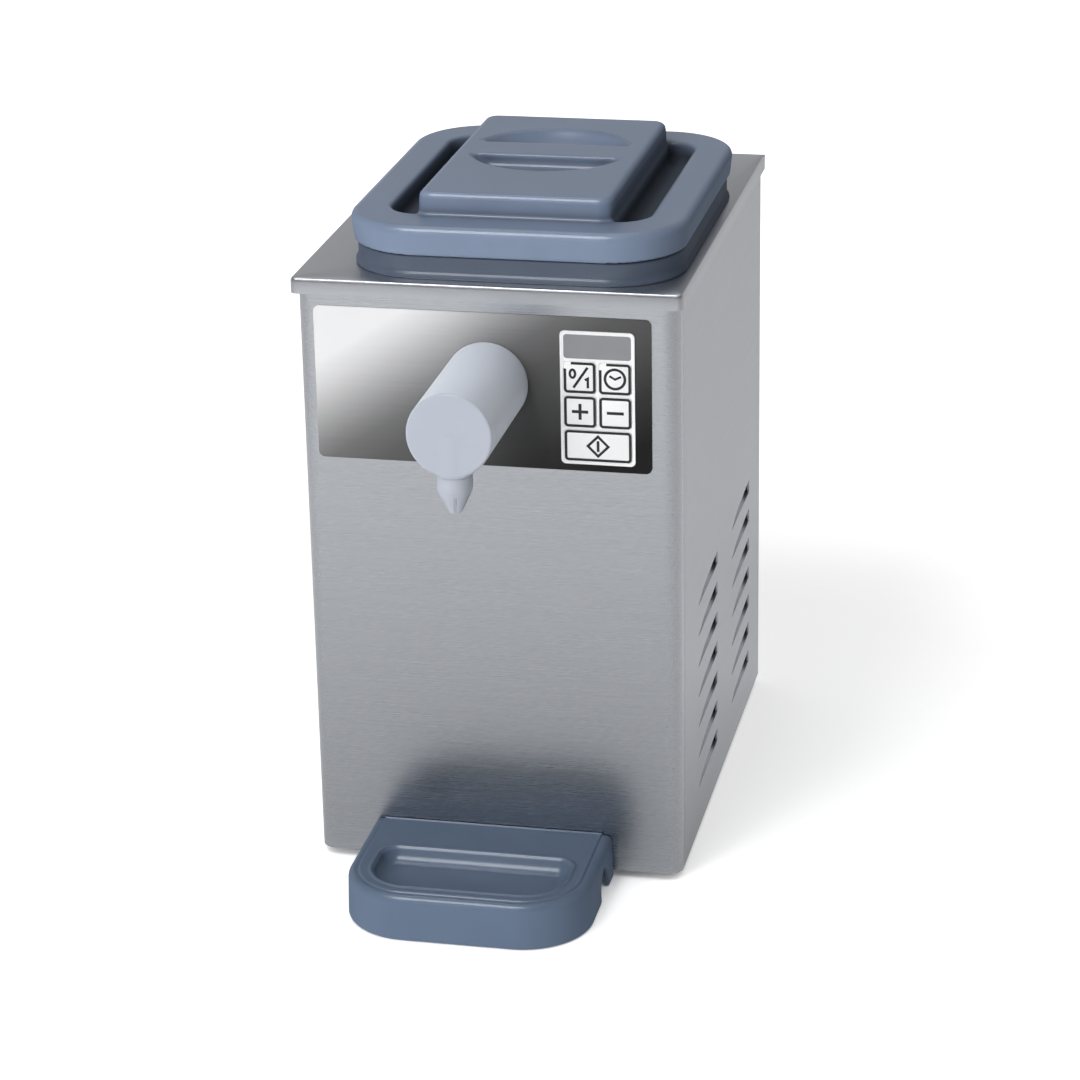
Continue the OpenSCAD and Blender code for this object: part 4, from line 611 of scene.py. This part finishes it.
def collar_field(x, y, z):
    """Flared ring under the lid, with the skirt's pocket, the tank's mouth and the pump's window."""
    collar_w, collar_d, collar_r, collar_top = 210, 248, 46, 409.5
    flare_in, flare_z, flare_h = 1.7, 396.8, 4.0
    pocket_w, pocket_d, pocket_r, pocket_z = 196, 234, 39, 403
    mouth_w, mouth_d, mouth_r = 168, 137, 29
    well_w, well_d, well_r, well_top = 182.4, 151.4, 36.2, 396.5
    window_y, window_w, window_d, window_r = -57, 112, 64, 1.5

    x, y = x - LID_X, y - LID_MID
    tank_y = y - (TANK_Y - LID_MID)
    rise = np.clip((z - flare_z) / flare_h, 0, 1)
    flare = flare_in * (0.5 - 0.5 * np.cos(np.pi * rise))
    plan = rect(x, y, collar_w, collar_d, collar_r) + flare
    body = slab(plan, z, TOP_Z, collar_top, 0.8, 1.2)
    body = cut(body, meet(rect(x, y, pocket_w, pocket_d, pocket_r), pocket_z - z, 1), 1)
    body = cut(body, rect(x, tank_y, mouth_w, mouth_d, mouth_r), 0.8)
    body = np.maximum(body, -np.maximum(rect(x, tank_y, well_w, well_d, well_r), z - well_top))
    window = rect(x + LID_X, y - (window_y - LID_MID), window_w, window_d, window_r)
    return cut(body, window, 0.8)


def tray_field(x, y, z):
    """Hollow tray with a stepped edge, a beaded basin, finger notches and the tongue's slot."""
    tray_w, tray_r, tray_draft, wall = 158, 44, 0.03, 3
    step_in, step_low = 6.5, 10
    basin_y, basin_w, basin_d, basin_depth, basin_slope = -179, 124, 52, 9, 0.35
    basin_front_r, basin_rear_r, basin_wall = 25.5, 11, 3.2
    rear_bead_r, rear_bead_half, basin_bead_r, basin_bead_out = 0.9, 72, 1.1, 1.5
    hollow_top = 26
    notch_y, notch_z, notch_r, notch_end = -138, 7, 12, 62
    slot_half, slot_top, slot_end = 31, 13, -118

    x = x - TRAY_X
    plan = rect(x, y - TRAY_BACK, tray_w, 2 * (TRAY_BACK - TRAY_FRONT), tray_r) + tray_draft * z
    body = slab(plan, z, 0, TRAY_H - 1.5, 2.5, 4.5)
    body = join(body, slab(plan + step_in, z, step_low, TRAY_H - 0.7, 1, 0.7), 0.8)
    body = meet(body, y - TRAY_BACK, 1.2)
    bead = np.hypot(y - TRAY_BACK + 1.2, z - TRAY_H + rear_bead_r) - rear_bead_r
    body = join(body, np.maximum(bead, np.abs(x) - rear_bead_half), 0.6)

    round_r = np.where(y < basin_y, basin_front_r, basin_rear_r)
    mouth = rect(x, y - basin_y, basin_w, basin_d, round_r)
    bead = np.hypot(mouth - basin_bead_out, z - TRAY_H + basin_bead_r) - basin_bead_r
    body = join(body, bead, 1.2)
    basin = meet(mouth + basin_slope * (TRAY_H - z), TRAY_H - basin_depth - z, 7)
    body = cut(body, basin, 1.8)

    hollow = meet(np.maximum(plan + wall, y - TRAY_BACK + wall), z - hollow_top, 2)
    body = cut(body, np.maximum(hollow, basin_wall - basin), 0.8)
    notch = np.hypot(y - notch_y, np.maximum(z - notch_z, 0)) - notch_r
    body = cut(body, meet(notch, notch_end - np.abs(x), 4), 2)
    slot = np.maximum(np.abs(x) - slot_half, np.maximum(z - slot_top, slot_end - y))
    return np.maximum(body, -slot)


for name, field, low, high, step, look, body, slot, node in (
        ("lid_shell", lid_field, (-99, -113, 402), (123, 151, 447), 1.5, lid_slate,
         "lid", "lid_slate", "lid"),
        ("collar_ring", collar_field, (-97, -109, 391), (121, 147, 413), 1.5, collar_slate,
         "casing", "collar_slate", "tank_collar"),
        ("tray_shell", tray_field, (-86, -225, -4), (80, -108, 35), 0.95, tray_slate,
         "drip_tray", "tray_slate", "drip_tray")):
    points, quads, normals = surface(field, low, high, step)
    # Occlusion of each point, painted as shade into the plastic's tone.
    painted_occlusion = closedness(field, points, normals)
    put(name, points, quads, [look], body, [node], normals, painted_occlusion=painted_occlusion)


# Dispensing head and star tip

def head_field(x, y, z):
    """Tube closed at the front, with a boss and a hollow spigot under its front end."""
    tube_r, bore_r, front_wall = 26.25, 23.25, 4
    boss_r, spigot_r, spigot_long, outlet_r, gap = 11, 8, 8, 5.5, 0.05

    seat = SEAT_Z + gap
    round_d = np.hypot(x, z - AXIS_Z)
    upright = np.hypot(x, y - TIP_Y)
    body = slab(round_d - tube_r, y, HEAD_FRONT, HEAD_REAR, 1.4, 0.8)
    body = join(body, slab(upright - boss_r, z, seat, AXIS_Z, 0.6, 1), 3)
    body = np.minimum(body, slab(upright - spigot_r, z, seat - spigot_long, AXIS_Z, 0.8, 1))
    body = np.maximum(body, -np.maximum(round_d - bore_r, HEAD_FRONT + front_wall - y))
    return np.maximum(body, -np.maximum(upright - outlet_r, z - AXIS_Z))


def tip_field(x, y, z):
    """Tapered nozzle with a seat for the head's spigot and six slits round its mouth."""
    top, long, gap = SEAT_Z - 0.05, 24, 0.06
    plain, collar_r, taper_r, curve = 8.5, 10.9, 6.9, 1.15
    seat_r, seat_depth, bore_r, mouth_r = 8 + gap, 8.1, 5.5, 2.1
    slit_half, slit_from, slit_turn = 0.55, 12.5, 15

    y = y - TIP_Y
    down = top - z
    r = np.hypot(x, y)
    taper = np.clip((down - plain) / (long - plain), 0, 1)
    outside = r - (collar_r - taper_r * taper ** curve)
    body = slab(outside * 0.9, z, top - long, top, 0.7, 0.6)
    seat = np.maximum(r - seat_r, down - seat_depth)
    narrows = (bore_r - mouth_r) * (down - seat_depth) / (long - seat_depth)
    inner = np.maximum(r - np.clip(bore_r - narrows, mouth_r, bore_r), -down - 1)
    body = np.maximum(body, -np.minimum(seat, inner))
    for turn in (0, 60, 120):
        a = math.radians(turn + slit_turn)
        across = np.abs(x * math.cos(a) + y * math.sin(a))
        body = cut(body, np.maximum(across - slit_half, slit_from - down), 0.5)
    return body


for name, field, low, high, step, body, node in (
        ("head_shell", head_field, (-29, -216, 295), (29, -109, 362), 1.1,
         "dispensing_head", "dispensing_head"),
        ("tip_shell", tip_field, (-12.5, -213.5, 280), (12.5, -188.5, 307), 0.4,
         "star_tip", "star_tip")):
    points, quads, normals = surface(field, low, high, step)
    put(name, points, quads, [milk], body, [node], normals)


# Top panel with its folded lip

def top_sheet():
    """Closed sheet with the lid's mouth, and a lip folded down at the front and both sides.

    A row holds the inset, the drop below the top, the drop along the rear edge, which has no lip,
    and that edge's shift to the rear.
    """
    outside = [(0.0, 10.0, 1.2, 0.0), (0.0, 2.4, 0.4, 0.0), (0.25, 1.3, 0.2, 0.0),
               (0.85, 0.4, 0.1, 0.0), (1.9, 0.0, 0.0, 0.0)]
    inside = [(2.4, 1.2, 1.2, 0.0), (1.2, 1.8, 1.2, 0.0), (1.2, 10.0, 1.2, 0.6)]
    sheet, steps = 1.2, 6
    mouth_w, mouth_d, mouth_r = 190, 228, 36
    wide, deep = BODY_W + 2 * LIP_OUT, BODY_D + LIP_OUT
    middle = FRONT_Y - LIP_OUT + deep / 2

    def ring(inset, drop, rear_drop, shift):
        front_r, rear_r = max(0.6, 4 - inset), max(0.4, 0.6 - inset)
        d = deep - 2 * inset
        rear = d / 2 - rear_r + 0.05
        return [(x, y + middle + shift, TOP_Z - rear_drop) if y > rear
                else (x, y + middle, TOP_Z - drop)
                for x, y in outline(wide - 2 * inset, d, front_r, rear_r, steps)]

    def mouth(z):
        hole = outline(mouth_w, mouth_d, mouth_r, mouth_r, steps)
        return [(x + LID_X, y + LID_MID, z) for x, y in hole]

    rings = [ring(*row) for row in outside] + [mouth(TOP_Z), mouth(TOP_Z - sheet)]
    return loft(rings + [ring(*row) for row in inside], close=True)


verts, faces = top_sheet()
put("top_sheet", verts, faces, [top_steel], "casing", ["top_panel"])


# Keys with their outlines and signs

def key_cap(heap, x, z, w):
    """Cap with a rounded face edge and a flange behind the bezel."""
    flange, flange_t, corner_r = 0.6, 1.2, 2
    rings = []
    for grow, y in ((flange, KEY_END), (flange, KEY_END - flange_t), (0, KEY_END - flange_t),
                    (0, KEY_Y + 0.45), (-0.12, KEY_Y + 0.14), (-0.45, KEY_Y)):
        r = corner_r + grow
        path = outline(w + 2 * grow, KEY_SIZE + 2 * grow, r, r, CORNER_STEPS)
        rings.append([(x + px, y, z + pz) for px, pz in path])
    heap.add(*loft(rings))


def key_line(heap, points, width, closed=False):
    heap.add(*ribbon(points, width, KEY_Y, 0.08, closed), mark=1)


def key_frame(heap, x, z, w, broken):
    """Line round a cap's face, open at the upper left where it is broken."""
    corner_r, width, left_gap, top_gap = 1.6, 1.65, 3.6, 3.8
    path = [(x + px, z + pz) for px, pz in outline(w - 2 * FRAME_IN, KEY_SIZE - 2 * FRAME_IN,
                                                   corner_r, corner_r, CORNER_STEPS)]
    if broken:
        per_corner = CORNER_STEPS + 1
        path = path[3 * per_corner:] + path[:2 * per_corner]
        left, top = x - w / 2 + FRAME_IN, z + KEY_SIZE / 2 - FRAME_IN
        path = [(left, top - left_gap)] + path + [(left + top_gap, top)]
    key_line(heap, path, width, not broken)


def sign_power(heap, x, z):
    key_line(heap, oval(x - 4.4, z + 2.4, 1.65, 2.6, 24), 1.5, True)
    key_line(heap, [(x - 3.9, z - 6.6), (x + 5.0, z + 6.7)], 1.6)
    key_line(heap, [(x + 3.3, z - 1.5), (x + 5.1, z - 0.4), (x + 5.1, z - 6.5)], 1.5)


def sign_timer(heap, x, z):
    key_line(heap, oval(x, z, 6.2, 6.2, 36), 1.65, True)
    key_line(heap, [(x - 3.4, z + 2.0), (x, z - 0.1), (x + 3.8, z + 1.8)], 1.35)


def sign_plus(heap, x, z):
    key_line(heap, [(x - 5.1, z), (x + 5.1, z)], 1.9)
    key_line(heap, [(x, z - 5.1), (x, z - 0.94)], 1.9)
    key_line(heap, [(x, z + 0.94), (x, z + 5.1)], 1.9)


def sign_minus(heap, x, z):
    key_line(heap, [(x - 5.3, z), (x + 5.3, z)], 1.9)


def sign_start(heap, x, z):
    key_line(heap, [(x, z + 6.4), (x - 6.4, z), (x, z - 6.4), (x + 6.4, z)], 1.6, True)
    key_line(heap, [(x, z - 3.5), (x, z + 3.5)], 1.7)


for key, dx, row, width, sign, broken in (
        ("key_power", -COLUMN, 2, KEY_SIZE, sign_power, True),
        ("key_timer", COLUMN, 2, KEY_SIZE, sign_timer, True),
        ("key_plus", -COLUMN, 1, KEY_SIZE, sign_plus, False),
        ("key_minus", COLUMN, 1, KEY_SIZE, sign_minus, False),
        ("key_start", 0, 0, START_W, sign_start, False)):
    heap = Heap()
    key_cap(heap, KEYPAD_X + dx, ROW_Z[row], width)
    key_frame(heap, KEYPAD_X + dx, ROW_Z[row], width, broken)
    sign(heap, KEYPAD_X + dx, ROW_Z[row])
    heap.piece(key + "_cap", [white_key, ink], key, "key_white", [key])


# Feet, rear screws and mains inlet

FOOT = [(0.5, 0.6), (9.5, 0.6), (10.0, 0), (13.3, 0), (14, 0.7), (13.6, 2.2), (12.4, 3.2),
        (12.2, 5.0), (0.5, 5.0)]
heap = Heap()
for x in (-86, 86):
    for y in (-77, 185):
        heap.add(*lathe(FOOT, (x, y, 0)))
heap.piece("feet_pads", [rubber], "casing", "rubber", ["feet"])


def screw_field(x, y, z):
    """Domed head with a cross recess, standing along +y on the origin."""
    head_r, dome_r, sunk = 4, 6.2, 4.2
    blade_half, blade_long, recess_floor = 0.5, 2.3, 0.9
    r = np.hypot(x, z)
    head = np.maximum(np.sqrt(r ** 2 + (y + sunk) ** 2) - dome_r, np.maximum(r - head_r, -y))
    cross = np.minimum(np.maximum(np.abs(x) - blade_half, np.abs(z) - blade_long),
                       np.maximum(np.abs(z) - blade_half, np.abs(x) - blade_long))
    return cut(head, np.maximum(cross, recess_floor - y), 0.2)


points, quads, _ = surface(screw_field, (-4.6, -0.6, -4.6), (4.6, 2.6, 4.6), 0.3)
heap = Heap()
for x in (-112, 112):
    for z in (35, 200, 365):
        heap.add(points + np.array([x, REAR_Y, z]), quads)
heap.piece("rear_screws", [inner_steel], "casing", "plain_steel", ["panel_screws"])


def mains_inlet():
    """Flanged socket in the rear panel with three pins in it and two screws on its flange."""
    cx, cz = -72.0, 55.0
    pin_pitch, screw_out = 7, 20
    shell, flange, mouth = (28, 20, 1, 1), (50, 24, 4, 4), (24, 16, 1.2, 4.5)
    heap = Heap()

    def ring(w, h, low_r, high_r, out):
        path = outline(w, h, low_r, high_r, CORNER_STEPS)
        return [(cx - px, REAR_Y + out, cz + pz) for px, pz in path]

    heap.add(*loft([
        ring(*shell, -22), ring(*shell, 0), ring(*flange, 0), ring(*flange, 1.1),
        ring(48.8, 22.8, 3.6, 3.6, 1.8), ring(28, 20, 3, 6, 1.8), ring(*mouth, 1.2),
        ring(*mouth, -15.2)]))
    for i, drop in ((-1, 2), (0, -2), (1, 2)):
        x, z = cx + pin_pitch * i, cz + drop
        pin = [[(x - s, REAR_Y + out, z - t), (x - s, REAR_Y + out, z + t),
                (x + s, REAR_Y + out, z + t), (x + s, REAR_Y + out, z - t)]
               for s, t, out in ((1, 2, -15.4), (1, 2, -5.0), (0.6, 1.5, -4.2))]
        heap.add(*loft(pin), mark=1)
    for side in (-screw_out, screw_out):
        head = [(0.3, 1.5), (2.6, 1.5), (2.4, 1.75), (0.3, 1.98)]
        heap.add(*lathe(head, (cx + side, REAR_Y, cz), upright=False, steps=20), mark=1)
    heap.piece("inlet_socket", [black_plastic, brass_pin], "casing", "bezel_dark", ["power_inlet"])


mains_inlet()


# Floor, light and camera

def stage_plane(name, size, mat):
    mesh = bpy.data.meshes.new(name)
    s = size / 2
    mesh.from_pydata([(-s, -s, 0), (s, -s, 0), (s, s, 0), (-s, s, 0)], [], [[0, 1, 2, 3]])
    mesh.materials.append(mat)
    plane = bpy.data.objects.new(name, mesh)
    bpy.context.scene.collection.objects.link(plane)


def floor_look():
    """White to the camera with the shadow kept, and a lit pale floor to other rays.

    The camera's white fades under whatever stands over the floor, in any pose: a painted shadow.
    Mirrored and scattered rays find the floor brighter ahead of the object and on its left. Its glow
    to scattered rays lights the object like a lamp, and to mirrored rays it is painted darker close
    ahead of the object and lighter close behind it, a painted reflection.
    """
    mat = bpy.data.materials.new("pale_floor")
    mat.use_nodes = True
    mat.node_tree.nodes.clear()
    st = Tree(mat.node_tree)
    path = st.node("ShaderNodeLightPath", {})
    mirrored, seen = path["Is Glossy Ray"], path["Is Camera Ray"]
    place = st.split(st.where["Object"])
    far = st.node("ShaderNodeVectorMath", {0: st.where["Object"]}, operation="LENGTH")["Value"]
    ahead = st.span(place["Y"], 0.25, -0.15, 0.0, 1.0)
    # Painted shadow: the camera's white is dimmed where the floor is occluded from above.
    open_above = st.node("ShaderNodeAmbientOcclusion", {"Distance": 0.08})["AO"]
    clear = st.span(open_above, 0.05, 0.50, 0.0, 1.0)

    pale = st.mix(mirrored, st.mix(seen, 0.62, 0.86), st.span(far, 0.22, 0.65, 0.62, 0.82))
    soft = st.node("ShaderNodeBsdfDiffuse", {"Color": pale})[0]
    # Painted light: the floor glows to scattered rays and so lights the object.
    painted_bounce = st.math("MULTIPLY", st.span(place["X"], 0.45, -0.05, 0.12, 0.5),
                     st.mix(ahead, 0.5, 1.0))
    # Painted reflection: the floor's glow to mirrored rays, darker close ahead of the object and
    # lighter close behind it.
    mirror = st.mix(ahead, st.span(far, 0.15, 0.60, 0.52, 0.33),
                    st.span(far, 0.22, 0.80, 0.17, 0.26))
    white = st.math("MULTIPLY", clear, st.span(far, 0.40, 1.20, 0.58, 1.0))
    level = st.mix(seen, st.mix(mirrored, painted_bounce, mirror), white)
    glow = st.node("ShaderNodeEmission", {"Strength": level})[0]
    both = st.node("ShaderNodeAddShader", {0: soft, 1: glow})[0]
    st.node("ShaderNodeOutputMaterial", {"Surface": both})
    return mat


def studio():
    """White to the camera, and to other rays an even room that is brightest low at the back."""
    world = bpy.data.worlds.new("studio")
    bpy.context.scene.world = world
    world.use_nodes = True
    st = Tree(world.node_tree)
    path = st.node("ShaderNodeLightPath", {})
    way = st.split(st.where["Generated"])
    mirrored = st.mix(st.span(way["Y"], -0.3, 0.3, 0.0, 1.0), 0.18,
                      st.span(way["Z"], 0.02, 0.30, 0.80, 0.32))
    spread = st.span(way["X"], -0.6, 0.6, 0.24, 0.20)
    level = st.mix(path["Is Camera Ray"], st.mix(path["Is Glossy Ray"], spread, mirrored), 1.0)
    back = world.node_tree.nodes["Background"]
    back.inputs["Color"].default_value = (1, 1, 1, 1)
    world.node_tree.links.new(level, back.inputs["Strength"])


def lamp(name, place, aim, size, power, mirrored=True, spread=True):
    """Round lamp that is seen in gloss or not, and lights matt faces or not."""
    light = bpy.data.lights.new(name, "AREA")
    light.shape = "DISK"
    light.size = size
    light.energy = power
    ob = bpy.data.objects.new(name, light)
    bpy.context.scene.collection.objects.link(ob)
    ob.location = place
    ob.rotation_euler = (Vector(aim) - Vector(place)).to_track_quat("-Z", "Y").to_euler()
    ob.visible_glossy = mirrored
    ob.visible_diffuse = spread


stage_plane("floor", 14.0, floor_look())
studio()
OVER_FRONT = (-0.5, -1.1, 2.3)
MIDDLE = (0, 0, 0.3)
lamp("key_light", (-1.00, -3.30, 1.35), (0, 0, 0.25), 2.0, 64, mirrored=False)
lamp("top_light", (-0.2, 0.9, 2.4), MIDDLE, 1.4, 7)
lamp("edge_light", OVER_FRONT, MIDDLE, 0.6, 13, mirrored=False)
lamp("strip_light", OVER_FRONT, MIDDLE, 1.2, 52, spread=False)

AZIMUTH, ELEVATION, ROLL = (math.radians(a) for a in (12.41, 21.23, -1.12))
TARGET, DISTANCE, LENS = Vector((0.0314, -0.1110, 0.2306)), 2.131, 113.8
camera = bpy.data.cameras.new("camera")
camera.sensor_width = 36.0
camera.lens = LENS
camera.clip_end = 50.0
eye = bpy.data.objects.new("camera", camera)
bpy.context.scene.collection.objects.link(eye)
level_out = math.cos(ELEVATION)
behind = Vector((math.sin(AZIMUTH) * level_out, -math.cos(AZIMUTH) * level_out,
                 math.sin(ELEVATION)))
right = Vector((math.cos(AZIMUTH), math.sin(AZIMUTH), 0))
up = behind.cross(right)
right, up = (math.cos(ROLL) * right + math.sin(ROLL) * up,
             math.cos(ROLL) * up - math.sin(ROLL) * right)
pose = Matrix((right, up, behind)).transposed().to_4x4()
pose.translation = TARGET + behind * DISTANCE
eye.matrix_world = pose
bpy.context.scene.camera = eye
bpy.context.scene.view_settings.view_transform = "Standard"
